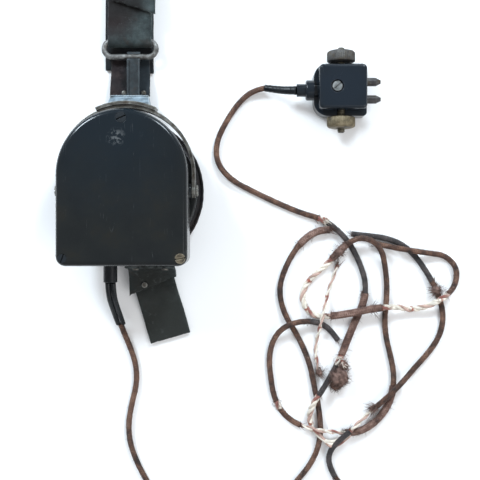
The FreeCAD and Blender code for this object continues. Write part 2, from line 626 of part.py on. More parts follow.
LOOP_ROUTE = [
    (103.0, -73.6, LOW), (99.4, -68.0, LOW), (92.8, -64.2, LOW), (83.3, -63.7, OVER), (74.9, -67.0, OVER),
    (70.2, -74.0, LOW), (68.6, -83.0, LOW), (69.5, -92.0, LOW), (70.9, -101.0, LOW), (74.6, -109.0, LOW),
    (81.5, -114.8, LOW), (90.2, -117.2, OVER), (98.6, -118.4, OVER), (107.0, -119.8, LOW),
    (115.0, -118.6, LOW), (122.0, -114.0, LOW), (127.5, -107.0, LOW), (130.6, -98.5, LOW),
    (130.9, -89.5, LOW), (129.0, -80.5, LOW), (126.8, -71.5, LOW), (126.2, -62.5, LOW), (127.2, -53.5, LOW),
    (127.4, -44.5, LOW), (126.4, -36.0, LOW), (124.6, -29.0, OVER), (120.0, -23.6, OVER),
    (113.0, -22.1, OVER), (106.2, -26.0, OVER), (101.0, -32.0, LOW), (95.5, -37.4, LOW), (89.6, -42.2, LOW),
    (85.2, -48.6, LOW), (85.7, -56.4, LOW), (91.5, -61.8, LOW), (101.0, -61.3, LOW), (110.0, -59.6, OVER),
    (120.5, -57.3, OVER), (131.0, -56.4, OVER), (140.0, -58.4, LOW), (149.4, -55.4, OVER),
    (156.6, -51.2, OVER), (161.9, -45.4, LOW), (161.7, -37.4, LOW), (156.0, -31.8, LOW), (149.6, -30.2, LOW),
    (142.6, -29.3, OVER), (134.6, -28.0, OVER), (127.6, -26.6, LOW),
]
TAIL_ROUTE = [
    (109.8, -20.4, LOW), (114.6, -21.2, LOW), (119.8, -21.5, LOW), (127.0, -22.6, LOW),
    (134.8, -25.4, LOW), (141.4, -31.2, LOW), (146.6, -38.5, LOW),
    (151.2, -46.5, LOW), (154.6, -55.0, LOW), (155.6, -63.8, LOW), (153.2, -72.4, LOW), (147.8, -80.0, LOW),
    (141.2, -87.2, LOW), (133.8, -94.8, OVER), (126.2, -102.4, OVER), (118.2, -109.6, LOW),
    (110.6, -116.6, OVER), (103.6, -122.4, OVER), (98.6, -128.8, LOW), (98.4, -136.0, LOW),
    (101.6, -141.6, LOW),
]
STRAND_LOW = 0.9
STRAND_OVER = 4.1
STRAND_ROUTE = [
    (102.8, -36.0, STRAND_LOW), (100.4, -43.0, STRAND_LOW), (97.9, -50.0, STRAND_LOW),
    (96.2, -57.0, STRAND_OVER), (93.8, -66.8, STRAND_OVER), (92.2, -74.0, STRAND_LOW),
    (91.7, -81.5, STRAND_LOW), (93.4, -88.6, STRAND_LOW),
]
CORDS = {
    "headset_leg": (LEG_ROUTE, CORD_D),
    "main_cord": (MAIN_ROUTE, CORD_D),
    "loop_leg": (LOOP_ROUTE, CORD_D),
    "tail_leg": (TAIL_ROUTE, CORD_D),
    "loose_strand": (STRAND_ROUTE, STRAND_D),
}


def gland_sleeves():
    """Two rubber sleeves side by side, from the gland down to where the braid starts."""
    sleeves = []
    for shift in (-1.28, 1.28):
        sleeves.append(tube([(x + shift, y, z) for x, y, z in SLEEVE_ROUTE], 2.5, "gland sleeve"))
    return group(sleeves)


# ---- assembly ------------------------------------------------------------------------------
EAR_PARTS = {
    "front_cover": front_cover,
    "rear_case": rear_case,
    "cover_screws": cover_screws,
    "magnet": magnet,
    "pole_pieces": pole_pieces,
    "coils": coils,
    "terminal_block": terminal_block,
    "inner_screws": inner_screws,
    "diaphragm": diaphragm,
    "ear_cap": ear_cap,
    "ear_cushion": ear_cushion,
    "cord_gland": cord_gland,
    "yoke_hoop": yoke_hoop,
    "pivot_screws": pivot_screws,
    "yoke_saddle": yoke_saddle,
    "slider_bracket": slider_bracket,
    "bracket_rivets": bracket_rivets,
    "strap_hanger": strap_hanger,
    "leather_backing": leather_backing,
    "wire_loop": wire_loop,
}


def build():
    nodes = {}
    for name, make in EAR_PARTS.items():
        right = make()
        nodes[name + "_right"] = right
        nodes[name + "_left"] = right.mirror(Vector(0, MID_Y, 0), Y_AXIS)
    nodes["headband_strap"] = headband_strap()
    nodes["headband_lining"] = headband_lining()
    nodes["chin_tab"] = chin_tab()
    nodes["chin_rivets"] = chin_rivets()
    nodes["chin_strap"] = chin_strap()
    nodes["plug_base"] = plug_base()
    nodes["plug_lid"] = plug_lid()
    nodes["plug_screw"] = plug_screw()
    nodes["plug_pins"] = plug_pins()
    nodes["plug_studs"] = plug_studs()
    nodes["thumb_nut_upper"] = thumb_nut(NUT_FACES[0], 1)
    nodes["thumb_nut_lower"] = thumb_nut(NUT_FACES[1], -1)
    nodes["plug_gland"] = plug_gland()
    nodes["plug_sleeve"] = tube(PLUG_SLEEVE_ROUTE, 4.1, "plug sleeve")
    nodes["gland_sleeves"] = gland_sleeves()
    for name, (route, diameter) in CORDS.items():
        nodes[name] = tube(route, diameter, name)
    return nodes


if __name__ == "__main__":
    os.makedirs("parts", exist_ok=True)
    for node, shape in build().items():
        shape.exportStep("parts/" + node + ".step")
        if not shape.isValid():
            print("INVALID", node)
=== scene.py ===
import json
import math
import random

import bpy
from mathutils import Matrix, Vector, noise


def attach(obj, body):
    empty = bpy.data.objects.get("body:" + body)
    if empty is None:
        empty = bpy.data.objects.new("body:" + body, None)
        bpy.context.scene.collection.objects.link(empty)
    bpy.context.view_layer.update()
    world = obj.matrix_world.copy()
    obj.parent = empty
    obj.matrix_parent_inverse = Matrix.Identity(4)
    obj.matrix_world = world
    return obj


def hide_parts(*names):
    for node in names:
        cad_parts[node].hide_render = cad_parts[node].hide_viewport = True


# Looks of the leather-strap headset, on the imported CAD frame. Lengths in the tables below are in
# millimetres and are turned into metres when a mesh is made.

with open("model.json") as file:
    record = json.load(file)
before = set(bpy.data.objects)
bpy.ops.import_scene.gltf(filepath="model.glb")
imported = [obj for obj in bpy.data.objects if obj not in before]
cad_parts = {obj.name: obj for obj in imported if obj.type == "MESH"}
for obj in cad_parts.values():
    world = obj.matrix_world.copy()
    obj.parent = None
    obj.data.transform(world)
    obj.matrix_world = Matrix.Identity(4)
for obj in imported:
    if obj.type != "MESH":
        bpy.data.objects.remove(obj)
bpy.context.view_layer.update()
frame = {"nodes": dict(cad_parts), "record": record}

MM = 0.001
EAR_SPACING = 320.0
MID_Y = EAR_SPACING / 2
FLOOR_Z = 0.0

CORD_D = 2.8
STRAND_D = 1.6
LOW = 1.5
OVER = 4.75
STRAND_LOW = 0.9
STRAND_OVER = 4.1


# ---- camera --------------------------------------------------------------------------------
CAMERA_AT = (54.2, -23.5, 450.0)
FIELD_MM = 240.0             # width of the table that the picture shows


def add_camera():
    data = bpy.data.cameras.new("camera")
    camera = bpy.data.objects.new("camera", data)
    bpy.context.scene.collection.objects.link(camera)
    camera.location = Vector(CAMERA_AT) * MM
    data.angle = 2 * math.atan(FIELD_MM / 2 / CAMERA_AT[2])
    data.clip_start = 0.01
    bpy.context.scene.camera = camera


add_camera()


# ---- mesh making ---------------------------------------------------------------------------
def wobble(x, y, z, scale, seed=0.0):
    """Smooth noise from about -1 to 1; scale is the size of its features in mm."""
    return noise.noise(Vector((x / scale + seed * 7.31, y / scale - seed * 3.7, z / scale + seed)))


def frames_along(points, closed=False):
    """A tangent and two cross directions at each point, without twist."""
    count = len(points)
    tangents = []
    for i in range(count):
        before = points[i - 1] if (i or closed) else points[0]
        after = points[(i + 1) % count] if (i < count - 1 or closed) else points[-1]
        tangents.append((after - before).normalized())
    side = tangents[0].orthogonal().normalized()
    if abs(tangents[0].z) < 0.9:
        side = tangents[0].cross(Vector((0, 0, 1))).normalized()
    frames = []
    for tangent in tangents:
        side = (side - tangent * side.dot(tangent)).normalized()
        frames.append((tangent, side, tangent.cross(side)))
    return frames


def running_length(points):
    lengths = [0.0]
    for a, b in zip(points, points[1:]):
        lengths.append(lengths[-1] + (b - a).length)
    return lengths


class Shape:
    """Collects vertices and faces in mm, then becomes one object."""

    def __init__(self):
        self.verts, self.faces, self.slots, self.uvs, self.wear = [], [], [], [], []

    def vert(self, point, wear=0.0):
        self.verts.append(Vector(point))
        self.wear.append(wear)
        return len(self.verts) - 1

    def face(self, ids, slot=0, uv=None):
        self.faces.append(ids)
        self.slots.append(slot)
        self.uvs.append(uv or [(0.0, 0.0)] * len(ids))

    def tube(self, points, radius, sides=12, slot=0, closed=False):
        """A round bar along points. radius is a number or a function of (share, angle, index)."""
        frames = frames_along(points, closed)
        lengths = running_length(points)
        total = lengths[-1] or 1.0
        size = radius if callable(radius) else (lambda share, angle, i: radius)
        rings = []
        for i, (point, (_, side, up)) in enumerate(zip(points, frames)):
            share = lengths[i] / total
            ring = []
            for k in range(sides):
                angle = 2 * math.pi * k / sides
                reach = size(share, angle, i)
                ring.append(self.vert(point + side * math.cos(angle) * reach + up * math.sin(angle) * reach))
            rings.append(ring)
        last = len(rings) if closed else len(rings) - 1
        for i in range(last):
            a, b = rings[i], rings[(i + 1) % len(rings)]
            u0, u1 = lengths[i], lengths[i + 1] if i + 1 < len(lengths) else total
            for k in range(sides):
                n = (k + 1) % sides
                v0, v1 = k / sides, (k + 1) / sides
                self.face([a[k], a[n], b[n], b[k]], slot, [(u0, v0), (u0, v1), (u1, v1), (u1, v0)])
        if not closed:
            for ring, point, flip in ((rings[0], points[0], True), (rings[-1], points[-1], False)):
                middle = self.vert(point)
                for k in range(sides):
                    ids = [ring[k], ring[(k + 1) % sides], middle]
                    self.face(ids[::-1] if flip else ids, slot)
        return self

    def lathe(self, profile, start, axis, segments=48, slot=0, reach=None):
        """Turns (distance along axis, radius) pairs about an axis. reach(angle, i) scales a radius."""
        axis = Vector(axis).normalized()
        side = axis.orthogonal().normalized()
        up = axis.cross(side)
        start = Vector(start)
        rings = []
        for i, (along, radius) in enumerate(profile):
            ring = []
            for k in range(segments):
                angle = 2 * math.pi * k / segments
                r = radius * (reach(angle, i) if reach else 1.0)
                out = side * math.cos(angle) * r + up * math.sin(angle) * r
                ring.append(self.vert(start + axis * along + out))
            rings.append(ring)
        for a, b in zip(rings, rings[1:]):
            for k in range(segments):
                n = (k + 1) % segments
                self.face([a[k], a[n], b[n], b[k]], slot)
        return self

    def build(self, name, materials, body, slot, replaces=(), mirror=False, place=None):
        """Makes the object. mirror reflects it to the left unit."""
        verts = [place @ v if place else v for v in self.verts]
        faces = self.faces
        uvs = self.uvs
        if mirror:
            verts = [Vector((v.x, 2 * MID_Y - v.y, v.z)) for v in verts]
            faces = [ids[::-1] for ids in faces]
            uvs = [uv[::-1] for uv in uvs]
        mesh = bpy.data.meshes.new(name)
        mesh.from_pydata([v * MM for v in verts], [], faces)
        layer = mesh.uv_layers.new(name="UVMap")
        flat = [c for uv in uvs for pair in uv for c in pair]
        layer.data.foreach_set("uv", flat)
        wear = mesh.attributes.new("wear", "FLOAT", "POINT")
        wear.data.foreach_set("value", self.wear)
        for material in materials:
            mesh.materials.append(material)
        mesh.polygons.foreach_set("material_index", self.slots)
        mesh.polygons.foreach_set("use_smooth", [True] * len(faces))
        mesh.update()
        piece = bpy.data.objects.new(name, mesh)
        bpy.context.scene.collection.objects.link(piece)
        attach(piece, body)
        if replaces:
            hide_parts(*replaces)
        return piece


# ---- materials -----------------------------------------------------------------------------
class Nodes:
    """Shorthand for building one material's node tree."""

    def __init__(self, name, **sockets):
        self.material = bpy.data.materials.new(name)
        self.material.use_nodes = True
        self.tree = self.material.node_tree
        self.shader = self.tree.nodes["Principled BSDF"]
        for key, value in sockets.items():
            self.shader.inputs[key.replace("_", " ")].default_value = value
        self.coords = self.tree.nodes.new("ShaderNodeTexCoord")

    def add(self, kind, inputs=None, **settings):
        node = self.tree.nodes.new("ShaderNode" + kind)
        for key, value in settings.items():
            setattr(node, key, value)
        for key, value in (inputs or {}).items():
            self.put(value, node.inputs[key])
        return node

    def put(self, value, socket):
        if hasattr(value, "is_linked"):
            self.tree.links.new(value, socket)
        else:
            socket.default_value = value

    def place(self, scale, turn=(0, 0, 0)):
        node = self.add("Mapping", {"Vector": self.coords.outputs["Object"]})
        node.inputs["Scale"].default_value = scale
        node.inputs["Rotation"].default_value = [math.radians(a) for a in turn]
        return node.outputs[0]

    def noise(self, scale, detail=4.0, rough=0.55, where=None, twist=0.0):
        node = self.add("TexNoise", {"Vector": where or self.coords.outputs["Object"], "Scale": scale,
                "Detail": detail, "Roughness": rough, "Distortion": twist})
        return node.outputs["Fac"]

    def cells(self, scale, where=None, feature="F1"):
        node = self.add("TexVoronoi", {"Vector": where or self.coords.outputs["Object"], "Scale": scale},
                feature=feature)
        return node.outputs["Distance"]

    def ramp(self, value, *stops):
        """stops are (position, colour or grey)."""
        node = self.add("ValToRGB", {"Fac": value})
        band = node.color_ramp
        while len(band.elements) < len(stops):
            band.elements.new(0.5)
        for element, (at, colour) in zip(band.elements, stops):
            element.position = at
            element.color = (*colour, 1) if isinstance(colour, tuple) else (colour, colour, colour, 1)
        return node.outputs["Color"]

    def mix(self, share, a, b, way="MIX"):
        node = self.add("Mix", data_type="RGBA", blend_type=way)
        for value, index in ((share, 0), (a, 6), (b, 7)):
            self.put((*value, 1) if isinstance(value, tuple) else value, node.inputs[index])
        return node.outputs[2]

    def math(self, way, a, b=0.0, clamp=False):
        node = self.add("Math", operation=way, use_clamp=clamp)
        self.put(a, node.inputs[0])
        self.put(b, node.inputs[1])
        return node.outputs[0]

    def times(self, a, b):
        return self.math("MULTIPLY", a, b)

    def both(self, a, b):
        """The product of two masks."""
        return self.mix(1.0, a, b, "MULTIPLY")

    def rise(self, value, low, high):
        """0 up to low, 1 from high."""
        return self.ramp(value, (low, 0.0), (high, 1.0))

    def fall(self, value, low, high):
        """1 up to low, 0 from high."""
        return self.ramp(value, (low, 1.0), (high, 0.0))

    def edges(self, radius):
        """1 on edges sharper than radius, in metres, and 0 on flat faces, from the bevelled normal."""
        bevel = self.add("Bevel", {"Radius": radius}, samples=6)
        flat = self.add("NewGeometry")
        dot = self.add("VectorMath", operation="DOT_PRODUCT")
        self.put(bevel.outputs[0], dot.inputs[0])
        self.put(flat.outputs["Normal"], dot.inputs[1])
        return self.fall(dot.outputs["Value"], 0.90, 0.995)

    def near(self, x, y, reach):
        """1 close to a spot given in mm, seen along Z, fading to 0 at reach mm from it."""
        flat = self.add("VectorMath", {0: self.coords.outputs["Object"], 1: (1, 1, 0)}, operation="MULTIPLY")
        away = self.add("VectorMath", {0: flat.outputs[0], 1: (x * MM, y * MM, 0)}, operation="DISTANCE")
        ragged = self.math("ADD", away.outputs["Value"], self.times(self.noise(240, 4), 0.4 * reach * MM))
        return self.fall(self.math("DIVIDE", ragged, 1.3 * reach * MM), 0.35, 1.0)

    def right_of(self, x, width=1.0):
        """0 left of x mm, 1 right of it."""
        split = self.add("SeparateXYZ", {"Vector": self.coords.outputs["Object"]})
        step = self.math("DIVIDE", self.math("SUBTRACT", split.outputs["X"], x * MM), width * MM)
        return self.math("ADD", step, 0.5, clamp=True)

    def bump(self, height, strength, distance, normal=None):
        node = self.add("Bump", {"Height": height, "Strength": strength, "Distance": distance})
        if normal is not None:
            self.put(normal, node.inputs["Normal"])
        return node.outputs[0]

    def rounded(self, radius):
        return self.add("Bevel", {"Radius": radius}, samples=6).outputs[0]

    def finish(self, colour, rough, normal=None):
        self.put((*colour, 1) if isinstance(colour, tuple) else colour, self.shader.inputs["Base Color"])
        self.put(rough, self.shader.inputs["Roughness"])
        if normal is not None:
            self.put(normal, self.shader.inputs["Normal"])
        return self.material


def hairlines(m, turn, scale, width):
    """Long thin scratches: a narrow band out of a stretched noise."""
    where = m.place(scale=(scale, scale * 0.06, scale), turn=(0, 0, turn))
    value = m.noise(1.0, 1.0, 0.4, where)
    gap = m.math("ABSOLUTE", m.math("SUBTRACT", value, 0.5))
    return m.ramp(gap, (0.0, 1.0), (width, 0.0))


def bakelite():
    m = Nodes("bakelite", Coat_Weight=0.22, Coat_Roughness=0.06, Specular_IOR_Level=0.17)
    patches = m.noise(55, 5)
    colour = m.ramp(patches, (0.3, (0.0045, 0.0062, 0.0072)), (0.55, (0.0075, 0.0092, 0.0095)),
            (0.75, (0.0120, 0.0112, 0.0085)))
    # Painted reflection: a blue tint over the top of the case, round (-4, 30), stands in for the bluish
    # lights mirrored there.
    colour = m.mix(m.times(m.near(-4, 30, 44), 0.8), colour, (0.0040, 0.0090, 0.0140))
    # Painted reflection: a blue tint round (103, 49) on the plug lid stands in for the bluish lights mirrored
    # there.
    colour = m.mix(m.near(103, 49, 30), colour, (0.0065, 0.0115, 0.0180))
    scratch = m.mix(1.0, hairlines(m, 20, 90, 0.0016), hairlines(m, -48, 120, 0.0014), "LIGHTEN")
    broken = m.rise(m.noise(170, 3), 0.55, 0.66)
    scratch = m.both(scratch, broken)
    scuffs = m.both(m.rise(m.noise(700, 4, 0.7), 0.50, 0.56), m.near(-2.2, 23.6, 4.2))
    specks = m.fall(m.cells(900), 0.02, 0.08)
    specks = m.both(specks, m.rise(m.noise(60, 2), 0.54, 0.64))
    marks = m.mix(1.0, m.mix(1.0, scratch, specks, "LIGHTEN"), scuffs, "LIGHTEN")
    colour = m.mix(m.times(marks, 0.20), colour, (0.13, 0.14, 0.145))
    colour = m.mix(m.times(scuffs, 0.35), colour, (0.14, 0.15, 0.155))
    worn = m.both(m.edges(0.0009), m.rise(m.noise(260, 4), 0.45, 0.64))
    colour = m.mix(m.times(worn, 0.35), colour, (0.09, 0.10, 0.11))
    rough = m.ramp(m.noise(35, 5), (0.3, 0.14), (0.7, 0.30))
    rough = m.mix(marks, rough, (0.5, 0.5, 0.5))
    normal = m.bump(m.mix(0.5, m.noise(1200, 3), marks), 0.10, 0.0002, m.rounded(0.0005))
    return m.finish(colour, rough, normal)


def metal(name, dark, mid, light, rough=(0.3, 0.55), metallic=1.0, scale=260, edge=None, stains=None,
        grain=0.25, rounding=0.0003, left_tone=None, left_to=0.0):
    """Worn metal: three tones, stains and bright or dark edges. left_tone is used left of left_to mm."""
    m = Nodes(name, Metallic=metallic)
    colour = m.ramp(m.noise(scale, 6, 0.62), (0.30, dark), (0.50, mid), (0.72, light))
    if stains:
        share = m.ramp(m.noise(scale * 0.45, 5, 0.6, twist=0.6), (0.52, 0.0), (0.66, 0.85))
        colour = m.mix(share, colour, stains)
    if edge:
        share = m.both(m.edges(0.0006), m.ramp(m.noise(400, 3), (0.35, 0.25), (0.6, 1.0)))
        colour = m.mix(share, colour, edge)
    if left_tone:
        colour = m.mix(m.right_of(left_to), left_tone, colour)
    roughness = m.ramp(m.noise(scale * 1.7, 4), (0.3, rough[0]), (0.7, rough[1]))
    normal = m.bump(m.noise(scale * 6, 4, 0.7), grain, 0.00012, m.rounded(rounding))
    return m.finish(colour, roughness, normal)


def leather(name, dark, mid, light, worn, stain, shine=(0.45, 0.7), grain=1700, bump=0.5, wear=0.3,
        patches=()):
    """Old leather: fine pebbled grain, scuffs, creases, brown stains and paler edges. patches are
    (x mm, y mm, reach mm, colour): spots of colour, some of them painted shadow."""
    m = Nodes(name, Specular_IOR_Level=0.16)
    colour = m.ramp(m.noise(170, 6, 0.65), (0.32, dark), (0.52, mid), (0.72, light))
    stains = m.ramp(m.noise(75, 5, 0.65, twist=0.8), (0.54, 0.0), (0.68, 0.8))
    colour = m.mix(stains, colour, stain)
    for x, y, reach, tone in patches:
        colour = m.mix(m.near(x, y, reach), colour, tone)
    scuffs = m.both(m.rise(m.noise(420, 5, 0.7), 0.58, 0.70), m.rise(m.noise(60, 3), 0.45, 0.65))
    colour = m.mix(m.times(scuffs, wear), colour, worn)
    rim = m.add("Attribute", attribute_name="wear").outputs["Fac"]
    rim = m.both(m.rise(rim, 0.55, 1.0), m.ramp(m.noise(500, 4), (0.42, 0.05), (0.62, 1.0)))
    colour = m.mix(m.times(rim, 1.3 * wear), colour, worn)
    pebbles = m.rise(m.cells(grain, feature="DISTANCE_TO_EDGE"), 0.0, 0.22)
    creases = m.ramp(m.noise(300, 6, 0.7, m.place((0.35, 1.6, 1.0))), (0.44, 0.3), (0.56, 1.0))
    relief = m.mix(0.55, pebbles, creases)
    normal = m.bump(relief, bump, 0.00025)
    roughness = m.ramp(m.noise(230, 4), (0.3, shine[0]), (0.7, shine[1]))
    return m.finish(colour, roughness, normal)


def braid(name, dark, mid, light, fuzz, rough=0.9):
    """Cotton braid: two crossing sets of slanted yarns, with painted shade in the grooves between them, fuzz
    and dirt.
    """
    m = Nodes(name, Sheen_Weight=0.04, Sheen_Roughness=0.6)
    where = m.coords.outputs["UV"]
    split = m.add("SeparateXYZ", {"Vector": where})
    along, around = split.outputs["X"], split.outputs["Y"]
    ridges = []
    for sign in (1, -1):
        phase = m.math("ADD", m.times(along, 0.95), m.times(around, 4.0 * sign))
        wave = m.math("SINE", m.times(phase, 2 * math.pi))
        ridges.append(wave)
    height = m.math("MAXIMUM", ridges[0], ridges[1])
    height = m.math("ADD", m.times(height, 0.4), 0.5)
    patches = m.ramp(m.noise(190, 7, 0.7), (0.36, dark), (0.5, mid), (0.66, light))
    # Painted shade: the grooves between the yarns are darkened towards the dark tone.
    shade = m.mix(m.ramp(height, (0.15, 0.8), (0.8, 0.0)), patches, dark)
    pale = m.both(m.rise(m.noise(900, 4, 0.7), 0.55, 0.68), m.rise(m.noise(90, 4), 0.45, 0.6))
    colour = m.mix(m.times(pale, 0.6), shade, fuzz)
    normal = m.bump(m.mix(0.35, height, m.noise(3500, 4, 0.7)), 0.7, 0.00035)
    return m.finish(colour, rough, normal)


def yarn(name, colour, stripe, dirt, stripes=0.16):
    """Twisted yarn with fine fibres along it; stripe colours a share of its turns."""
    m = Nodes(name, Sheen_Weight=0.15, Sheen_Roughness=0.6)
    split = m.add("SeparateXYZ", {"Vector": m.coords.outputs["UV"]})
    phase = m.math("ADD", m.times(split.outputs["X"], 0.75), m.times(split.outputs["Y"], 1.0))
    fibres = m.math("SINE", m.times(phase, 14 * math.pi))
    tone = m.ramp(m.noise(260, 5, 0.65), (0.3, tuple(c * 0.62 for c in colour)), (0.6, colour))
    turn = m.math("FRACT", m.times(split.outputs["X"], 0.06))
    band = m.ramp(m.math("ADD", turn, m.times(m.noise(120, 2), 0.25)), (stripes, 1.0),
            (stripes + 0.08, 0.0))
    tone = m.mix(band, tone, stripe)
    tone = m.mix(m.ramp(m.noise(330, 5, 0.7), (0.54, 0.0), (0.68, 0.8)), tone, dirt)
    normal = m.bump(m.mix(0.5, m.math("ADD", m.times(fibres, 0.4), 0.5), m.noise(4000, 3)), 0.6, 0.0002)
    return m.finish(tone, 0.9, normal)


def plain(name, dark, light, rough, scale=400, **sockets):
    """A small hidden part's finish: two tones, varied gloss and a light grain."""
    m = Nodes(name, **sockets)
    colour = m.ramp(m.noise(scale, 5), (0.35, dark), (0.65, light))
    roughness = m.ramp(m.noise(scale * 2, 3), (0.3, rough * 0.8), (0.7, rough * 1.2))
    normal = m.bump(m.noise(scale * 5, 3), 0.3, 0.0001, m.rounded(0.0003))
    return m.finish(colour, roughness, normal)


def rubber():
    m = Nodes("rubber", Specular_IOR_Level=0.22)
    colour = m.ramp(m.noise(300, 5), (0.3, (0.003, 0.004, 0.005)), (0.6, (0.007, 0.009, 0.011)),
            (0.78, (0.018, 0.018, 0.017)))
    colour = m.mix(m.times(m.edges(0.0006), 0.4), colour, (0.07, 0.075, 0.08))
    rough = m.ramp(m.noise(200, 4), (0.3, 0.22), (0.7, 0.42))
    normal = m.bump(m.noise(1800, 4), 0.25, 0.0002, m.rounded(0.0004))
    return m.finish(colour, rough, normal)


def coil_wire():
    """Fine enamelled turns laid side by side."""
    m = Nodes("coil_wire", Coat_Weight=0.4)
    wave = m.add("TexWave", {"Vector": m.coords.outputs["Object"], "Scale": 900.0, "Distortion": 0.6},
            bands_direction="Z")
    colour = m.ramp(wave.outputs["Fac"], (0.2, (0.05, 0.012, 0.006)), (0.8, (0.30, 0.09, 0.04)))
    return m.finish(colour, 0.35, m.bump(wave.outputs["Fac"], 0.6, 0.0001))


MATERIALS = {
    "bakelite": bakelite(),
    "brass_screws": metal("brass_screws", (0.05, 0.04, 0.028), (0.13, 0.105, 0.070), (0.26, 0.22, 0.155),
        (0.4, 0.65), 0.6, 500, edge=(0.30, 0.26, 0.19), stains=(0.025, 0.023, 0.020),
        left_tone=(0.012, 0.016, 0.020), left_to=14.0),
    "bright_steel": metal("bright_steel", (0.06, 0.07, 0.07), (0.16, 0.17, 0.17), (0.34, 0.36, 0.36),
        (0.4, 0.6), 0.5, 420, edge=(0.10, 0.10, 0.10), stains=(0.05, 0.05, 0.045)),
    "magnet_steel": plain("magnet_steel", (0.01, 0.01, 0.011), (0.03, 0.03, 0.032), 0.4),
    "soft_iron": metal("soft_iron", (0.10, 0.10, 0.10), (0.24, 0.24, 0.24), (0.40, 0.40, 0.40)),
    "coil_wire": coil_wire(),
    "fibre_board": plain("fibre_board", (0.09, 0.03, 0.015), (0.18, 0.07, 0.04), 0.6),
    "diaphragm_tinplate": metal("diaphragm_tinplate", (0.22, 0.22, 0.23), (0.42, 0.42, 0.43), (0.6, 0.6, 0.6),
        (0.2, 0.4)),
    "cushion_leather": leather("cushion_leather", (0.006, 0.006, 0.007), (0.013, 0.012, 0.013),
        (0.026, 0.024, 0.025), (0.06, 0.055, 0.05), (0.025, 0.016, 0.013), (0.32, 0.55)),
    "rubber": rubber(),
    "worn_steel": metal("worn_steel", (0.030, 0.026, 0.020), (0.105, 0.100, 0.088), (0.24, 0.24, 0.22),
        (0.35, 0.6), 0.75, 330, edge=(0.34, 0.34, 0.32), stains=(0.055, 0.035, 0.020)),
    "zinc_casting": metal("zinc_casting", (0.16, 0.20, 0.24), (0.28, 0.36, 0.42), (0.46, 0.56, 0.62),
        (0.35, 0.55), 0.55, 380, edge=(0.62, 0.70, 0.74), stains=(0.10, 0.12, 0.13), rounding=0.0006),
    "blued_steel": metal("blued_steel", (0.006, 0.009, 0.011), (0.014, 0.021, 0.025), (0.032, 0.042, 0.048),
        (0.3, 0.5), 0.15, 300, edge=(0.060, 0.075, 0.085), stains=(0.026, 0.020, 0.016)),
    "brown_leather": leather("brown_leather", (0.005, 0.004, 0.005), (0.012, 0.008, 0.009),
        (0.034, 0.025, 0.024), (0.12, 0.11, 0.10), (0.010, 0.008, 0.010), (0.5, 0.75), wear=0.22,
        patches=((8, 53, 12, (0.014, 0.020, 0.025)), (8, 62, 12, (0.014, 0.020, 0.025)),
        # The near-black spot at (0, 56) is painted shadow cast by the hanger onto the tongue.
        (0, 56, 5, (0.004, 0.004, 0.004)))),
    "grey_wire": metal("grey_wire", (0.060, 0.060, 0.058), (0.15, 0.15, 0.145), (0.30, 0.31, 0.30),
        (0.4, 0.65), 0.6, 420, stains=(0.045, 0.038, 0.030)),
    "strap_leather": leather("strap_leather", (0.011, 0.015, 0.016), (0.024, 0.033, 0.034),
        (0.046, 0.060, 0.061), (0.15, 0.17, 0.17), (0.030, 0.024, 0.021), (0.48, 0.72), wear=0.28,
        # The dark spots at (-8, 85), (-6, 92) and (3, 91) are painted shadow under the strap's free flap; the
        # one at (11, -42) is painted shade over the chin tab.
        patches=((-8, 85, 12, (0.014, 0.009, 0.009)), (-6, 92, 12, (0.006, 0.005, 0.005)),
        (3, 91, 7, (0.005, 0.005, 0.005)), (11, -42, 14, (0.010, 0.011, 0.010)),
        (16, -66, 30, (0.024, 0.027, 0.025)))),
    "lining_leather": leather("lining_leather", (0.005, 0.007, 0.009), (0.011, 0.013, 0.015),
        (0.022, 0.024, 0.025), (0.08, 0.08, 0.078), (0.022, 0.018, 0.014), (0.5, 0.75), wear=0.2),
    "plug_brass": metal("plug_brass", (0.020, 0.018, 0.013), (0.060, 0.054, 0.038), (0.14, 0.125, 0.085),
        (0.4, 0.65), 0.6, 480, edge=(0.26, 0.23, 0.16), stains=(0.028, 0.026, 0.025)),
    "cord_braid": braid("cord_braid", (0.012, 0.006, 0.0045), (0.080, 0.037, 0.023), (0.190, 0.100, 0.064),
        (0.27, 0.20, 0.165)),
    "conductor_strand": yarn("conductor_strand", (0.80, 0.74, 0.64), (0.30, 0.085, 0.05),
        (0.30, 0.19, 0.14), 0.14),
}
SHEATH = braid("cord_sheath", (0.009, 0.008, 0.009), (0.038, 0.031, 0.031), (0.090, 0.072, 0.068),
        (0.20, 0.16, 0.15))
FRAYED = braid("frayed_braid", (0.034, 0.015, 0.011), (0.140, 0.076, 0.058), (0.29, 0.185, 0.150),
        (0.42, 0.33, 0.28))
PINK_YARN = yarn("pink_yarn", (0.54, 0.37, 0.31), (0.24, 0.09, 0.07), (0.22, 0.12, 0.09), 0.3)
FIBRES = plain("brown_fibres", (0.050, 0.024, 0.016), (0.17, 0.092, 0.068), 0.9, 700)
WOOL = plain("pinkish_wool", (0.085, 0.048, 0.038), (0.27, 0.175, 0.145), 0.9, 500)
NUT_TAN = metal("nut_tan", (0.050, 0.040, 0.025), (0.12, 0.095, 0.055), (0.22, 0.18, 0.115),
        (0.4, 0.6), 0.5, 480, edge=(0.30, 0.25, 0.16), stains=(0.030, 0.025, 0.018))
NUT_OLIVE = metal("nut_olive", (0.022, 0.021, 0.020), (0.048, 0.047, 0.050), (0.10, 0.098, 0.092),
        (0.4, 0.6), 0.5, 480, edge=(0.20, 0.19, 0.16), stains=(0.050, 0.036, 0.020))
CORD_MATERIALS = [
    MATERIALS["cord_braid"], SHEATH, MATERIALS["conductor_strand"], PINK_YARN, FIBRES, FRAYED, WOOL,
]
BRAID, DARK, CREAM, PINK, FRAY, LOOSE, WOOLLY = range(7)
LOOSE_SWELL = 1.32           # how much thicker a loosened stretch of braid is


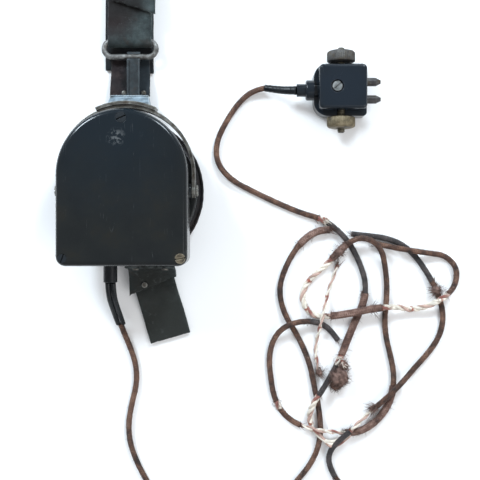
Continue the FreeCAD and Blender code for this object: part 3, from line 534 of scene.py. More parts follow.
# ---- cords ---------------------------------------------------------------------------------
LEG_ROUTE = [
    (-4.9, -65.0, 3.9), (-3.4, -70.0, 1.7), (-0.2, -77.5, LOW), (2.5, -86.0, LOW), (2.8, -95.0, LOW),
    (0.4, -104.5, LOW), (-1.3, -114.0, LOW), (-0.9, -123.5, LOW), (2.5, -133.5, LOW), (7.4, -143.0, LOW),
    (14.5, -154.5, LOW), (26.0, -163.8, LOW), (41.5, -168.0, LOW), (57.5, -165.0, LOW), (71.0, -156.0, LOW),
    (82.8, -143.5, LOW), (91.0, -133.0, LOW), (94.6, -121.5, LOW), (93.8, -108.5, LOW), (91.2, -96.5, LOW),
    (88.9, -84.5, LOW), (83.5, -72.0, LOW), (76.4, -61.0, LOW), (73.4, -49.0, LOW), (76.3, -38.0, LOW),
    (81.8, -28.0, LOW), (88.0, -21.5, LOW), (94.5, -18.4, LOW), (98.8, -18.4, 2.2),
]
MAIN_ROUTE = [
    (66.8, 51.9, 3.2), (61.0, 51.2, 1.6), (53.5, 45.0, LOW), (46.6, 34.5, LOW), (42.2, 24.5, LOW),
    (42.7, 14.5, LOW), (50.0, 6.2, LOW), (61.0, 0.5, LOW), (73.0, -5.2, LOW), (85.0, -10.2, LOW),
    (94.0, -12.6, LOW), (100.2, -16.4, LOW), (105.6, -21.2, LOW), (110.3, -27.5, LOW), (114.3, -36.0, LOW),
    (117.0, -45.0, LOW), (116.0, -54.5, LOW), (112.0, -63.0, LOW), (108.2, -72.0, LOW), (104.8, -81.0, LOW),
    (100.4, -89.5, LOW), (95.4, -97.2, OVER), (90.2, -104.6, OVER), (88.4, -112.0, LOW), (90.2, -118.6, LOW),
]
LOOP_ROUTE = [
    (103.0, -73.6, LOW), (99.4, -68.0, LOW), (92.8, -64.2, LOW), (83.3, -63.7, OVER), (74.9, -67.0, OVER),
    (70.2, -74.0, LOW), (68.6, -83.0, LOW), (69.5, -92.0, LOW), (70.9, -101.0, LOW), (74.6, -109.0, LOW),
    (81.5, -114.8, LOW), (90.2, -117.2, OVER), (98.6, -118.4, OVER), (107.0, -119.8, LOW),
    (115.0, -118.6, LOW), (122.0, -114.0, LOW), (127.5, -107.0, LOW), (130.6, -98.5, LOW),
    (130.9, -89.5, LOW), (129.0, -80.5, LOW), (126.8, -71.5, LOW), (126.2, -62.5, LOW), (127.2, -53.5, LOW),
    (127.4, -44.5, LOW), (126.4, -36.0, LOW), (124.6, -29.0, OVER), (120.0, -23.6, OVER),
    (113.0, -22.1, OVER), (106.2, -26.0, OVER), (101.0, -32.0, LOW), (95.5, -37.4, LOW), (89.6, -42.2, LOW),
    (85.2, -48.6, LOW), (85.7, -56.4, LOW), (91.5, -61.8, LOW), (101.0, -61.3, LOW), (110.0, -59.6, OVER),
    (120.5, -57.3, OVER), (131.0, -56.4, OVER), (140.0, -58.4, LOW), (149.4, -55.4, OVER),
    (156.6, -51.2, OVER), (161.9, -45.4, LOW), (162.3, -37.0, LOW), (156.4, -31.2, LOW), (149.6, -30.2, LOW),
    (142.6, -29.3, OVER), (134.6, -28.0, OVER), (127.6, -26.6, LOW), (121.6, -25.2, LOW),
]
TAIL_ROUTE = [
    (109.8, -20.4, LOW), (114.6, -21.2, LOW), (119.8, -21.5, LOW), (127.0, -22.6, LOW), (134.8, -25.4, LOW),
    (141.4, -31.2, LOW), (146.6, -38.5, LOW),
    (151.2, -46.5, LOW), (154.6, -55.0, LOW), (155.6, -63.8, LOW), (153.2, -72.4, LOW), (147.8, -80.0, LOW),
    (141.2, -87.2, LOW), (133.8, -94.8, OVER), (126.2, -102.4, OVER), (118.2, -109.6, LOW),
    (110.6, -116.6, OVER), (103.6, -122.4, OVER), (98.6, -128.8, LOW), (98.4, -136.0, LOW),
        (101.6, -141.6, LOW),
]
STRAND_ROUTE = [
    (102.8, -36.0, STRAND_LOW), (100.4, -43.0, STRAND_LOW), (97.9, -50.0, STRAND_LOW),
    (96.2, -57.0, STRAND_OVER), (93.8, -66.8, STRAND_OVER), (92.2, -74.0, STRAND_LOW),
    (91.7, -81.5, STRAND_LOW), (93.4, -88.6, STRAND_LOW),
]
GLAND_X = -7.7
GLAND_Z = 20.2
SLEEVE_ROUTE = [(GLAND_X, -43.8, GLAND_Z), (-7.6, -49.6, 18.6), (-7.0, -55.0, 13.2), (-6.0, -60.2, 7.6),
        (-4.9, -65.0, 3.9)]
PLUG_SLEEVE_ROUTE = [(81.9, 49.6, 10.0), (77.0, 49.8, 8.6), (72.0, 50.8, 5.6), (66.8, 51.9, 3.2)]


def spline_points(name, route):
    """Points in mm along the NURBS spline that has the route as its control points."""
    data = bpy.data.curves.new(name + "_line", "CURVE")
    data.dimensions = "3D"
    data.resolution_u = 14
    spline = data.splines.new("NURBS")
    spline.points.add(len(route) - 1)
    for point, place in zip(spline.points, route):
        point.co = (*(Vector(place) * MM), 1)
    spline.order_u = 3
    spline.use_endpoint_u = True
    line = bpy.data.objects.new(name + "_line", data)
    bpy.context.scene.collection.objects.link(line)
    bpy.context.view_layer.update()
    mesh = bpy.data.meshes.new_from_object(line)
    points = [v.co / MM for v in mesh.vertices]
    bpy.data.objects.remove(line)
    bpy.data.meshes.remove(mesh)
    return points


def nearest(points, x, y):
    return min(range(len(points)), key=lambda i: (points[i].x - x) ** 2 + (points[i].y - y) ** 2)


def wisps(shape, centre, way, count, length, spread, slot, dice, size=0.13, curl=0.5, start=0.6):
    """Loose fibres that leave centre roughly along way, each a thin tapering hair."""
    way = Vector(way).normalized()
    for _ in range(count):
        aim = (way + Vector([dice.uniform(-spread, spread) for _ in range(3)])).normalized()
        bend = Vector([dice.uniform(-curl, curl) for _ in range(3)])
        reach = length * dice.uniform(0.45, 1.0)
        begin = Vector(centre) + Vector([dice.uniform(-start, start) for _ in range(3)])
        points = []
        for step in range(6):
            t = step / 5
            point = begin + aim * reach * t + bend * reach * t * t * 0.6
            point.z = max(point.z, 0.25)
            points.append(point)
        shape.tube(points, lambda share, angle, i: size * (1.05 - 0.75 * share), 4, slot)


def tuft(shape, centre, radius, count, slot, dice, length=2.4):
    """A rounded woolly ball: a lumpy core under short curled fibres."""
    centre = Vector(centre)
    rows = 12
    outline = [(radius * 0.72 * (1 - math.cos(math.pi * i / rows)),
            radius * 0.86 * math.sin(math.pi * i / rows))
            for i in range(rows + 1)]

    def lumps(angle, i):
        return 1 + 0.3 * wobble(math.cos(angle) * radius, math.sin(angle) * radius, i, 2.0, radius)

    shape.lathe(outline, centre - Vector((0, 0, radius * 0.72)), (0, 0, 1), 26, slot, lumps)
    for _ in range(count):
        way = Vector([dice.gauss(0, 1) for _ in range(3)]).normalized()
        foot = centre + Vector((way.x * radius * 0.8, way.y * radius * 0.8, way.z * radius * 0.62))
        wisps(shape, foot, way, 1, length, 1.3, slot, dice, 0.10, 2.2, 0.3)


def twisted(shape, points, radius, strands, pitch, slots, dice, fray=0.12):
    """Bare conductors twisted round each other along a stretch of the cord."""
    frames = frames_along(points)
    lengths = running_length(points)
    for n in range(strands):
        start = 2 * math.pi * n / strands
        loose = dice.uniform(0.6, 1.3)
        line = []
        for i, (point, (_, side, up)) in enumerate(zip(points, frames)):
            angle = start + 2 * math.pi * lengths[i] / pitch
            away = radius * (0.55 + fray * wobble(lengths[i], n * 9.0, 0, 6.0, loose))
            place = point + side * math.cos(angle) * away + up * math.sin(angle) * away
            place.z = max(place.z, radius * 0.62)
            line.append(place)
        thick = radius * 0.56
        shape.tube(line, lambda share, angle, i: thick * (1 + 0.12 * math.sin(3 * angle + i * 0.5)), 8,
                slots[n % len(slots)])


def make_cord(name, route, diameter, stretches, seed, ends=(0, 0)):
    """A cord from its spline. stretches are (x, y, kind) places in order along it; each kind
    holds up to the next place. Returns the cord's shape, its loose fibres' shape and its points."""
    points = spline_points(name, route)
    dice = random.Random(seed)
    shape, frays = Shape(), Shape()
    marks = [nearest(points, x, y) for x, y, _ in stretches] + [len(points) - 1]
    marks[0] = 0
    for (_, _, kind), first, last in zip(stretches, marks, marks[1:]):
        piece = points[first:last + 1]
        if len(piece) < 2:
            continue
        base = diameter / 2
        if kind in (BRAID, DARK, LOOSE):
            if kind == LOOSE:
                base *= LOOSE_SWELL

            def radius(share, angle, i, base=base, first=first):
                here = points[min(first + i, len(points) - 1)]
                lump = 1 + 0.055 * wobble(here.x, here.y, 0, 5.0, seed) + 0.03 * wobble(here.x, here.y,
                        angle, 1.6, seed)
                weave = 0.02 * math.sin(3 * angle + i * 1.3)
                return base * (lump + weave)
            shape.tube(piece, radius, 14, kind)
            for end, way in ((piece[0], piece[0] - piece[1]), (piece[-1], piece[-1] - piece[-2])):
                inside = 0 < points.index(end) < len(points) - 1
                if inside:
                    wisps(frays, end - way.normalized() * 0.8, way, 26, 3.6, 0.75, FRAY, dice, 0.12, 0.7, 1.1)
            if kind == LOOSE:
                for point, ahead in zip(piece[::2], piece[1::2]):
                    out = Vector((dice.uniform(-1, 1), dice.uniform(-1, 1), 0.4)).normalized()
                    wisps(frays, point + out * base * 0.85, out + (ahead - point), 7, 1.7, 0.9, FRAY, dice,
                            0.06, 1.6, 0.6)
        else:
            slots = (CREAM, CREAM, PINK) if kind == CREAM else (PINK, CREAM)
            twisted(shape, piece, base * (0.98 if kind == CREAM else 0.72), 3 if kind == CREAM else 2,
                    11.0, slots, dice)
    for i in range(0, len(points) - 3, 3):
        way = points[i + 1] - points[i]
        side = Vector((-way.y, way.x, dice.uniform(0, 0.6) * way.length))
        if dice.random() < 0.5:
            side.x, side.y = -side.x, -side.y
        wisps(frays, points[i] + side.normalized() * diameter * 0.42, side + way * dice.uniform(-1.5, 1.5),
                1, 1.3, 0.5, FRAY, dice, 0.045, 0.6, 0.05)
    for count, place, way in ((ends[0], points[0], points[0] - points[1]),
            (ends[1], points[-1], points[-1] - points[-2])):
        wisps(frays, place - way.normalized() * 1.0, way, count, 5.0, 0.55, FRAY, dice, 0.14, 0.5, 0.9)
    return shape, frays, points


def lay_cord(made, node):
    shape, frays, points = made
    slot = "conductor_strand" if node == "loose_strand" else "cord_braid"
    piece = shape.build(node + "_cord", CORD_MATERIALS, "right_receiver", slot, (node,))
    fibres = frays.build(node + "_frays", CORD_MATERIALS, "right_receiver", slot)


def make_cords():
    lay_cord(make_cord("headset_leg", LEG_ROUTE, CORD_D, [(-4.9, -65, BRAID), (84.0, -25.6, LOOSE)], 11,
            (0, 30)),
            "headset_leg")

    main = make_cord("main_cord", MAIN_ROUTE, CORD_D, [
        (66.8, 51.9, BRAID), (93.0, -12.4, CREAM), (97.6, -15.0, DARK), (116.8, -50.0, LOOSE),
            (104.7, -80.6, CREAM), (102.2, -86.0, DARK), (93.2, -100.8, CREAM)], 12)
    dice = random.Random(31)
    tuft(main[1], (103.4, -91.6, 4.2), 4.9, 760, WOOLLY, dice, 1.7)
    tuft(main[1], (101.6, -95.4, 3.0), 3.0, 260, FRAY, dice, 1.7)
    tuft(main[1], (105.6, -86.0, 3.2), 2.7, 200, WOOLLY, dice, 1.7)
    for place, way in (((96.2, -13.6, 2.6), (1, -0.4, 0.5)), ((104.6, -82.4, 3.0), (-0.8, -0.5, 0.5)),
            ((105.4, -84.0, 3.2), (0.2, -1, 0.5))):
        wisps(main[1], place, way, 16, 5.0, 0.6, CREAM, dice, 0.26, 0.6, 1.0)
    for offset, slot in ((0.0, CREAM), (1.3, CREAM), (2.5, PINK)):
        route = [(90.4, -117.0, 2.0 + offset), (93.0 + offset, -121.6, 2.6), (98.5, -124.0 - offset, 3.0),
                (104.0, -122.6 - offset, 3.4), (109.0, -120.4, 2.6)]
        main[1].tube(spline_points("fan", route), 0.8, 8, slot)
    lay_cord(main, "main_cord")

    loop = make_cord("loop_leg", LOOP_ROUTE, CORD_D, [
        (103.0, -73.6, DARK), (88.0, -64.2, BRAID), (72.2, -104.0, CREAM), (73.6, -107.6, BRAID),
            (84.0, -115.6, PINK),
        (107.0, -119.7, LOOSE), (130.4, -96.0, BRAID), (107.0, -25.4, LOOSE), (100.4, -32.8, CREAM),
        (99.5, -61.4, LOOSE), (124.0, -57.0, CREAM), (157.4, -50.4, BRAID)], 13, (10, 16))
    tuft(loop[1], (103.6, -29.4, 4.4), 2.2, 160, WOOLLY, dice, 2.0)
    tuft(loop[1], (151.6, -48.4, 2.8), 2.4, 190, WOOLLY, dice, 2.4)
    tuft(loop[1], (119.6, -57.4, 4.9), 1.7, 60, FRAY, dice, 2.8)
    lay_cord(loop, "loop_leg")

    tail = make_cord("tail_leg", TAIL_ROUTE, CORD_D, [
        (109.8, -20.4, DARK), (150.0, -44.0, BRAID), (120.9, -107.0, PINK), (108.6, -118.2, DARK)], 14,
            (8, 60))
    wisps(tail[1], (121.6, -106.2, 3.2), (-0.9, -0.5, 0.3), 90, 6.0, 0.7, WOOLLY, dice, 0.13, 0.6, 1.4)
    lay_cord(tail, "tail_leg")

    strand = make_cord("loose_strand", STRAND_ROUTE, STRAND_D * 1.5, [(102.8, -36.0, PINK)], 15, (16, 20))
    tuft(strand[1], (93.8, -89.4, 2.2), 1.7, 70, WOOLLY, dice, 3.0)
    lay_cord(strand, "loose_strand")


make_cords()


def make_sleeves():
    """Rubber strain reliefs that taper away from the gland and the plug."""
    shape = Shape()
    for shift in (-1.28, 1.28):
        route = [(x + shift, y, z) for x, y, z in SLEEVE_ROUTE]
        shape.tube(spline_points("sleeve", route), lambda share, angle, i: 1.3 - 0.14 * share, 16)
    shape.build("sleeves_gland", [MATERIALS["rubber"]], "right_receiver", "rubber", ("gland_sleeves",))
    shape = Shape()
    shape.tube(spline_points("plug_relief", PLUG_SLEEVE_ROUTE),
            lambda share, angle, i: 2.15 - 0.45 * share + 0.05 * math.sin(i * 1.1), 18)
    shape.build("sleeve_plug", [MATERIALS["rubber"]], "right_receiver", "rubber", ("plug_sleeve",))


make_sleeves()


# ---- straps --------------------------------------------------------------------------------
def fine_line(corners, step=0.7, passes=3):
    """Evenly spaced (y, z) points along the corners, with the corners eased."""
    points = [Vector((0, y, z)) for y, z in corners]
    lengths = running_length(points)
    count = max(int(lengths[-1] / step), 2)
    line, k = [], 0
    for i in range(count + 1):
        at = lengths[-1] * i / count
        while k < len(points) - 2 and lengths[k + 1] < at:
            k += 1
        share = (at - lengths[k]) / (lengths[k + 1] - lengths[k])
        line.append(points[k].lerp(points[k + 1], share))
    for _ in range(passes):
        line = [line[0]] + [(a + b * 2 + c) / 4 for a, b, c in zip(line, line[1:], line[2:])] + [line[-1]]
    return line


def fold(y, z, radius, way, steps=16):
    """Half a turn of (y, z) points round a bar, from below to above; way is the side it bulges to."""
    return [(y + way * radius * math.sin(math.pi * i / steps), z - radius * math.cos(math.pi * i / steps))
            for i in range(steps + 1)]


def strap(corners, thickness, left, right, seed, start_trim=None, end_trim=None, ragged=0.0, relief=0.12):
    """A leather strap along (y, z) corners. left and right give x from the share of the length; the trims
    give how much is cut off an end at each x. Edges are rounded and uneven."""
    line = fine_line(corners)
    lengths = running_length(line)
    total = lengths[-1]
    edge_steps = [0.0, 0.12, 0.35, 0.75]
    middle = [1.6 + i * 1.0 for i in range(200)]

    def spaced(width):
        inner = [d for d in middle if d < width / 2]
        half = edge_steps + inner
        return half + [width - d for d in half[::-1]]

    def at(s):
        s = min(max(s, 0.0), total)
        i = min(int(s / total * (len(line) - 1)), len(line) - 2)
        share = (s - lengths[i]) / (lengths[i + 1] - lengths[i])
        tangent = (line[min(i + 2, len(line) - 1)] - line[max(i - 1, 0)]).normalized()
        return line[i].lerp(line[i + 1], share), Vector((0, -tangent.z, tangent.y))

    shape = Shape()
    rows = [0.0, 0.12, 0.35, 0.75] + [1.6 + 0.9 * i for i in range(int((total - 3.2) / 0.9))]
    rows += [total - 0.75, total - 0.35, total - 0.12, total]
    columns = len(spaced(right(0) - left(0)))
    top, bottom = [], []
    for r, row in enumerate(rows):
        share = row / total
        x0 = left(share) + 0.16 * wobble(0, row, 0, 7.0, seed) + 0.05 * wobble(1, row, 0, 1.1, seed)
        x1 = right(share) + 0.16 * wobble(9, row, 0, 7.0, seed) + 0.05 * wobble(8, row, 0, 1.1, seed)
        steps = spaced(right(0) - left(0))
        stretch = (x1 - x0) / steps[-1]
        top_row, bottom_row = [], []
        for c in range(columns):
            x = x0 + steps[c] * stretch
            near = start_trim(x) if start_trim else 0.0
            far = end_trim(x) if end_trim else 0.0
            near += ragged * abs(wobble(x, 3, 0, 1.3, seed))
            far += ragged * abs(wobble(x, 7, 0, 1.3, seed))
            s = near + row * (total - near - far) / total
            point, normal = at(s)
            gap = min(steps[c], steps[-1] - steps[c], row, total - row)
            round_in = min(gap / (thickness / 2), 1.0)
            half = thickness / 2 * math.sqrt(max(1 - (1 - round_in) ** 2, 0.0))
            bulge = relief * wobble(x, s, 0, 6.0, seed) + 0.4 * relief * wobble(x, s, 5, 1.7, seed)
            wear = max(0.0, 1 - gap / 1.3)
            place = point + Vector((x, 0, 0))
            lift = min(gap / 1.5, 1.0) * bulge
            if half < 1e-6:
                index = shape.vert(place, 1.0)
                top_row.append(index)
                bottom_row.append(index)
            else:
                top_row.append(shape.vert(place + normal * (half + lift), wear))
                bottom_row.append(shape.vert(place - normal * (half - 0.5 * lift), wear))
        top.append(top_row)
        bottom.append(bottom_row)
    for r in range(len(rows) - 1):
        for c in range(columns - 1):
            up = [top[r][c], top[r][c + 1], top[r + 1][c + 1], top[r + 1][c]]
            down = [bottom[r][c], bottom[r + 1][c], bottom[r + 1][c + 1], bottom[r][c + 1]]
            shape.face(up)
            shape.face(down)
    return shape


BAR_TOP_Y = 74.65
BAR_LOW_Y = 66.95
BAR_Z = 5.6
WIRE_R = 1.35
STRAP_T = 1.5
STRAP_HALF = 10.7
FOLD_R = 2.75                # from a loop's bar to the middle of the strap folded round it
FLAP_SHIFT = 2.2             # how far the strap's free end lies to the right
LINING_X = (-12.9, 11.1)
LOOP_HALF_STRAIGHT = 8.95


def make_headband():
    leather_strap = MATERIALS["strap_leather"]
    far = EAR_SPACING - BAR_TOP_Y
    low, high = BAR_Z - FOLD_R, BAR_Z + FOLD_R
    corners = [(118, 2.25), (92, 2.25), (84, low)] + fold(BAR_TOP_Y, BAR_Z, FOLD_R, -1)
    corners += [(97, high), (126, 4.0), (140, 2.3), (228, 2.3), (236, low)]
    corners += fold(far, BAR_Z, FOLD_R, 1)
    corners += [(224, high), (205, 4.1), (141, 4.1), (126, 5.85), (97.5, 10.1), (90, 10.5), (84, 11.3)]
    lengths = running_length([Vector((0, y, z)) for y, z in corners])
    turn_share = (lengths[-1] - 160.0) / lengths[-1]

    def side(share, base, top_shift):
        blend = min(max((share - turn_share) * 12, 0.0), 1.0)
        return base + top_shift * blend

    slant = (93.3 - 86.6) / (12.9 + 8.4)
    strap(corners, STRAP_T, lambda share: side(share, -STRAP_HALF, FLAP_SHIFT),
            lambda share: side(share, STRAP_HALF, FLAP_SHIFT), 3,
          end_trim=lambda x: 9.3 - slant * (x + 8.4), ragged=1.3, relief=0.22).build(
        "strap_headband", [leather_strap], "headband", "strap_leather", ("headband_strap",))
    strap([(59.2, 0.8), (EAR_SPACING - 59.2, 0.8)], 1.15, lambda share: LINING_X[0],
            lambda share: LINING_X[1], 4, start_trim=lambda x: 1.7 - 1.7 * (x + 11.8) / 22.9,
            end_trim=lambda x: 1.7 - 1.7 * (x + 11.8) / 22.9,
          ragged=0.6).build("lining_headband", [MATERIALS["lining_leather"]], "headband", "lining_leather",
            ("headband_lining",))


make_headband()


def make_side_pieces(side):
    """Backing tongue and wire loop of one unit."""
    mirror = side == "left"
    tongue = strap([(47.4, 4.5), (52.0, 4.5), (58.0, 2.15), (66.3, 2.15)], 1.1,
            lambda share: -10.2 + 0.6 * share, lambda share: 9.7 - 0.3 * share, 5, ragged=0.5, relief=0.16)
    tongue.build("tongue_" + side, [MATERIALS["brown_leather"]], side + "_yoke", "brown_leather",
            ("leather_backing_" + side,), mirror)
    end_r = (BAR_TOP_Y - BAR_LOW_Y) / 2
    middle = (BAR_TOP_Y + BAR_LOW_Y) / 2
    half = LOOP_HALF_STRAIGHT
    points = []
    for i in range(24):
        points.append(Vector((-half + 2 * half * i / 24, BAR_LOW_Y, BAR_Z)))
    for i in range(20):
        angle = -math.pi / 2 + math.pi * i / 20
        points.append(Vector((half + end_r * math.cos(angle), middle + end_r * math.sin(angle), BAR_Z)))
    for i in range(24):
        points.append(Vector((half - 2 * half * i / 24, BAR_TOP_Y, BAR_Z)))
    for i in range(20):
        angle = math.pi / 2 + math.pi * i / 20
        points.append(Vector((-half + end_r * math.cos(angle), middle + end_r * math.sin(angle), BAR_Z)))
    ring = Shape()

    def thickness(share, angle, i):
        here = points[i]
        loose = min(max((abs(here.x) - 8.5) / 2.0, 0.0), 1.0)
        return WIRE_R * (1 + 0.06 * loose * wobble(here.x, here.y, angle, 2.2, 6))

    ring.tube(points, thickness, 16, closed=True)
    ring.build("loop_wire_" + side, [MATERIALS["grey_wire"]], side + "_loop", "grey_wire",
            ("wire_loop_" + side,), mirror)


for unit in ("right", "left"):
    make_side_pieces(unit)


TAB_X = (-0.3, 23.0)
CHIN_AT = (11.4, -43.6, 0)
CHIN_ANGLE = 16.0
CHIN_HALF = 10.25


def make_chin_strap():
    tab = [(-36.25, 25.6), (-36.25, 17.0), (-38.2, 11.6), (-42.0, 8.0), (-46.5, 6.6), (-53.0, 5.6)]
    slope = (50.6 - 40.6) / (TAB_X[1] - 0.7)
    strap(tab, 1.5, lambda share: TAB_X[0], lambda share: TAB_X[1], 7,
          end_trim=lambda x: 2.2 + slope * (x - 0.7), ragged=0.9).build(
        "tab_chin", [MATERIALS["strap_leather"]], "right_receiver", "strap_leather", ("chin_tab",))
    place = Matrix.Translation(CHIN_AT) @ Matrix.Rotation(math.radians(CHIN_ANGLE), 4, "Z")
    strap([(4.6, 3.5), (-6.0, 3.5), (-15.0, 1.2), (-30.0, 1.2)], 1.5, lambda share: -CHIN_HALF,
            lambda share: CHIN_HALF, 8,
          ragged=0.4).build("strap_chin", [MATERIALS["strap_leather"]], "chin_strap", "strap_leather",
            ("chin_strap",), place=place)


make_chin_strap()


# ---- cushions ------------------------------------------------------------------------------
CUSHION_R = 36.5
HOLE_R = 15.5
CUSHION_SHRINK = 0.45        # room left for the leather to swell
CUSHION_STEPS = 150
PUFF_FRAMES = 20


def cushion_profile(shrink):
    """Closed (radius, z) outline of the ring's section, flat below."""
    inner, outer = HOLE_R + shrink, CUSHION_R - shrink
    low, high = 0.15 + shrink, 8.2 - shrink
    middle, reach = (inner + outer) / 2, (outer - inner) / 2
    outline = []
    for i in range(40):
        angle = 2 * math.pi * i / 40
        c, s = math.cos(angle), math.sin(angle)
        x = math.copysign(abs(c) ** 0.45, c)
        z = math.copysign(abs(s) ** 0.7, s)
        outline.append((middle + reach * x, (low + high) / 2 + (high - low) / 2 * z))
    return outline


def make_cushion(side):
    outline = cushion_profile(CUSHION_SHRINK)
    count = CUSHION_STEPS
    shape = Shape()
    rings = []
    for k in range(count):
        angle = 2 * math.pi * k / count
        rings.append([shape.vert((r * math.cos(angle), r * math.sin(angle), z)) for r, z in outline])
    for k in range(count):
        a, b = rings[k], rings[(k + 1) % count]
        for i in range(len(outline)):
            n = (i + 1) % len(outline)
            shape.face([a[i], b[i], b[n], a[n]])
    body = side + "_receiver"
    cushion = shape.build("cushion_" + side, [MATERIALS["cushion_leather"]], body, "cushion_leather",
            ("ear_cushion_" + side,), side == "left")
    remesh = cushion.modifiers.new("remesh", "REMESH")
    remesh.mode = "VOXEL"
    remesh.voxel_size = 0.0014
    remesh.use_smooth_shade = True
    apply_modifiers(cushion)
    puff(cushion, 0.0008)
    centre_y = EAR_SPACING if side == "left" else 0.0
    for v in cushion.data.vertices:
        x, y, z = v.co.x / MM, v.co.y / MM - centre_y, v.co.z / MM
        radius = math.hypot(x, y)
        angle = math.atan2(y, x)
        rim = abs(radius - (HOLE_R + CUSHION_R) / 2) / ((CUSHION_R - HOLE_R) / 2)
        pucker = 0.30 * rim ** 2 * wobble(math.cos(angle) * 30, math.sin(angle) * 30, z, 2.6, 9)
        crease = 0.20 * wobble(x, y, z, 5.0, 10)
        v.co += v.normal * (pucker + crease - 0.1) * MM
        v.co.z = min(max(v.co.z, 0.05 * MM), 8.33 * MM)
    smooth = cushion.modifiers.new("smooth", "SUBSURF")
    smooth.levels = 1
    smooth.render_levels = 1
    apply_modifiers(cushion)
    seam = Shape()
    for radius, z in ((CUSHION_R - 0.75, 6.9), (HOLE_R + 0.8, 6.6)):
        points = []
        for k in range(180):
            angle = 2 * math.pi * k / 180
            r = radius + 0.12 * wobble(math.cos(angle) * 20, math.sin(angle) * 20, z, 3.0, 12)
            points.append(Vector((r * math.cos(angle), r * math.sin(angle), z)))
        seam.tube(points, lambda share, angle, i: 0.62 + 0.06 * math.sin(i * 2.1), 8, closed=True)
    seam.build("piping_" + side, [MATERIALS["cushion_leather"]], body, "cushion_leather", (), side == "left")


def apply_modifiers(piece):
    """Bakes a piece's modifiers into its mesh."""
    bpy.context.view_layer.update()
    graph = bpy.context.evaluated_depsgraph_get()
    mesh = bpy.data.meshes.new_from_object(piece.evaluated_get(graph))
    mesh.name = piece.name
    piece.modifiers.clear()
    piece.data = mesh
    mesh.polygons.foreach_set("use_smooth", [True] * len(mesh.polygons))


def puff(piece, limit):
    """Swells a stuffed piece with cloth pressure; no point moves further than limit."""
    scene = bpy.context.scene
    rest = [v.co.copy() for v in piece.data.vertices]
    cloth = piece.modifiers.new("cloth", "CLOTH")
    cloth.settings.use_pressure = True
    cloth.settings.uniform_pressure_force = 4.0
    cloth.settings.effector_weights.gravity = 0.0
    cloth.settings.quality = 6
    cloth.settings.mass = 0.3
    cloth.point_cache.frame_start = 1
    cloth.point_cache.frame_end = PUFF_FRAMES
    for number in range(1, PUFF_FRAMES + 1):
        scene.frame_set(number)
    apply_modifiers(piece)
    for v, start in zip(piece.data.vertices, rest):
        move = v.co - start
        if move.length > limit:
            v.co = start + move.normalized() * limit
    scene.frame_set(1)
    piece.data.update()


for unit in ("right", "left"):
    make_cushion(unit)


# ---- plug metalwork ------------------------------------------------------------------------
STUD_X = 103.6
PLUG_Z = 10.0
STUD_R = 1.9
THREAD_PITCH = 0.8
THREAD_DEPTH = 0.3
NUT_TEETH = 44
NUT_SEGMENTS = 6 * NUT_TEETH
RIM_ROWS = (5, 6, 7, 8, 9)   # rows of the nut's profile that carry the knurling


def thread(shape, start, way, length):
    """A stud with a real helical thread: way is +1 or -1 along Y."""
    count = int(length / 0.11)
    points = [Vector(start) + Vector((0, way * length * i / count, 0)) for i in range(count + 1)]

    def radius(share, angle, i):
        phase = (share * length / THREAD_PITCH + way * angle / (2 * math.pi)) % 1.0
        tooth = 1 - abs(2 * phase - 1)
        end = min(share * length, (1 - share) * length)
        return (STUD_R - 0.32 + THREAD_DEPTH * tooth) * min(1.0, 0.72 + end * 0.6)

    shape.tube(points, radius, 28)


def make_plug_metal():
    studs = Shape()
    thread(studs, (STUD_X, 43.9, PLUG_Z), -1, 15.0)
    thread(studs, (STUD_X, 56.1, PLUG_Z), 1, 14.3)
    studs.build("studs_plug", [MATERIALS["plug_brass"]], "right_receiver", "plug_brass", ("plug_studs",))
    for name, hub, way, tone in (("upper", 63.1, 1, NUT_OLIVE), ("lower", 36.9, -1, NUT_TAN)):
        nut = Shape()

        def knurl(angle, i):
            if i in RIM_ROWS:
                return 1 - 0.040 * (0.5 + 0.5 * math.cos(angle * NUT_TEETH)) ** 0.7
            return 1.0

        profile = [(0.0, 1.97), (0.0, 4.3), (0.1, 4.6), (0.3, 4.7), (0.32, 6.2), (0.5, 6.7), (0.9, 6.9),
                (2.8, 6.9),
                (4.4, 6.9), (5.0, 6.7), (5.5, 6.1), (5.8, 5.0), (5.88, 3.6), (5.9, 2.4), (5.9, 1.97),
                (0.0, 1.97)]
        nut.lathe(profile, (STUD_X, hub, PLUG_Z), (0, way, 0), NUT_SEGMENTS, 0, knurl)
        nut.build("knurled_nut_" + name, [tone], "thumb_nut_" + name, "plug_brass", ("thumb_nut_" + name,))


make_plug_metal()


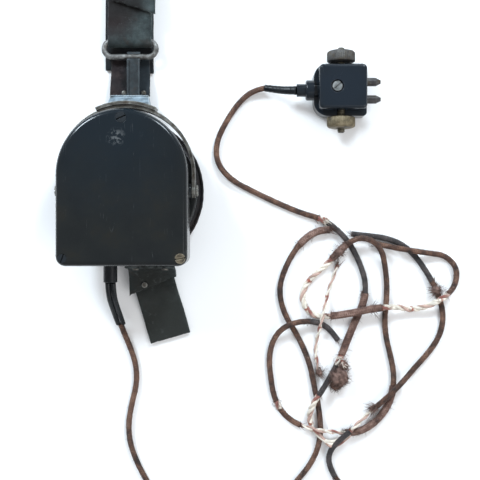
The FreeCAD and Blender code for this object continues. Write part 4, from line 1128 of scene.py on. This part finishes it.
# ---- finishes of the CAD pieces ------------------------------------------------------------
OWN_FINISH = {
    "plug_pins": NUT_OLIVE,
    "bracket_rivets_right": MATERIALS["worn_steel"],
    "bracket_rivets_left": MATERIALS["worn_steel"],
}
for entry in frame["record"]["subparts"]:
    node = frame["nodes"][entry["node"]]
    node.data.materials.clear()
    node.data.materials.append(OWN_FINISH.get(entry["node"], MATERIALS[entry["material_slot"]]))


# ---- stage and light -----------------------------------------------------------------------
def add_stage():
    mesh = bpy.data.meshes.new("table")
    reach = 3.0
    corners = [(-reach, -reach, 0), (reach, -reach, 0), (reach, reach, 0), (-reach, reach, 0)]
    mesh.from_pydata(corners, [], [(0, 1, 2, 3)])
    m = Nodes("white_table")
    colour = m.ramp(m.noise(2.0, 2), (0.3, (0.86, 0.86, 0.86)), (0.7, (0.90, 0.90, 0.90)))
    mesh.materials.append(m.finish(colour, 0.85))
    table = bpy.data.objects.new("table", mesh)
    bpy.context.scene.collection.objects.link(table)
    table.location.z = FLOOR_Z - 0.0002


def add_light(name, at, aim, size, power, colour=(1, 1, 1)):
    data = bpy.data.lights.new(name, "AREA")
    data.shape = "RECTANGLE"
    data.size, data.size_y = size
    data.energy = power
    data.color = colour
    light = bpy.data.objects.new(name, data)
    light.location = at
    light.rotation_euler = (Vector(aim) - Vector(at)).to_track_quat("-Z", "Y").to_euler()
    bpy.context.scene.collection.objects.link(light)


def add_world():
    world = bpy.data.worlds.new("studio")
    world.use_nodes = True
    world.node_tree.nodes["Background"].inputs["Color"].default_value = (0.95, 0.97, 1.0, 1)
    world.node_tree.nodes["Background"].inputs["Strength"].default_value = 0.6
    bpy.context.scene.world = world
    bpy.context.scene.view_settings.view_transform = "Standard"


add_stage()
add_world()
add_light("window_left", (-0.42, 0.50, 0.50), (0.03, 0.0, 0.0), (0.20, 0.20), 7.0, (0.80, 0.91, 1.0))
add_light("window_right", (0.35, 0.60, 0.50), (0.05, 0.0, 0.0), (0.18, 0.18), 5.0, (0.80, 0.91, 1.0))
add_light("fill", (0.7, -0.5, 0.8), (0.05, 0.0, 0.0), (0.9, 0.9), 6.0)
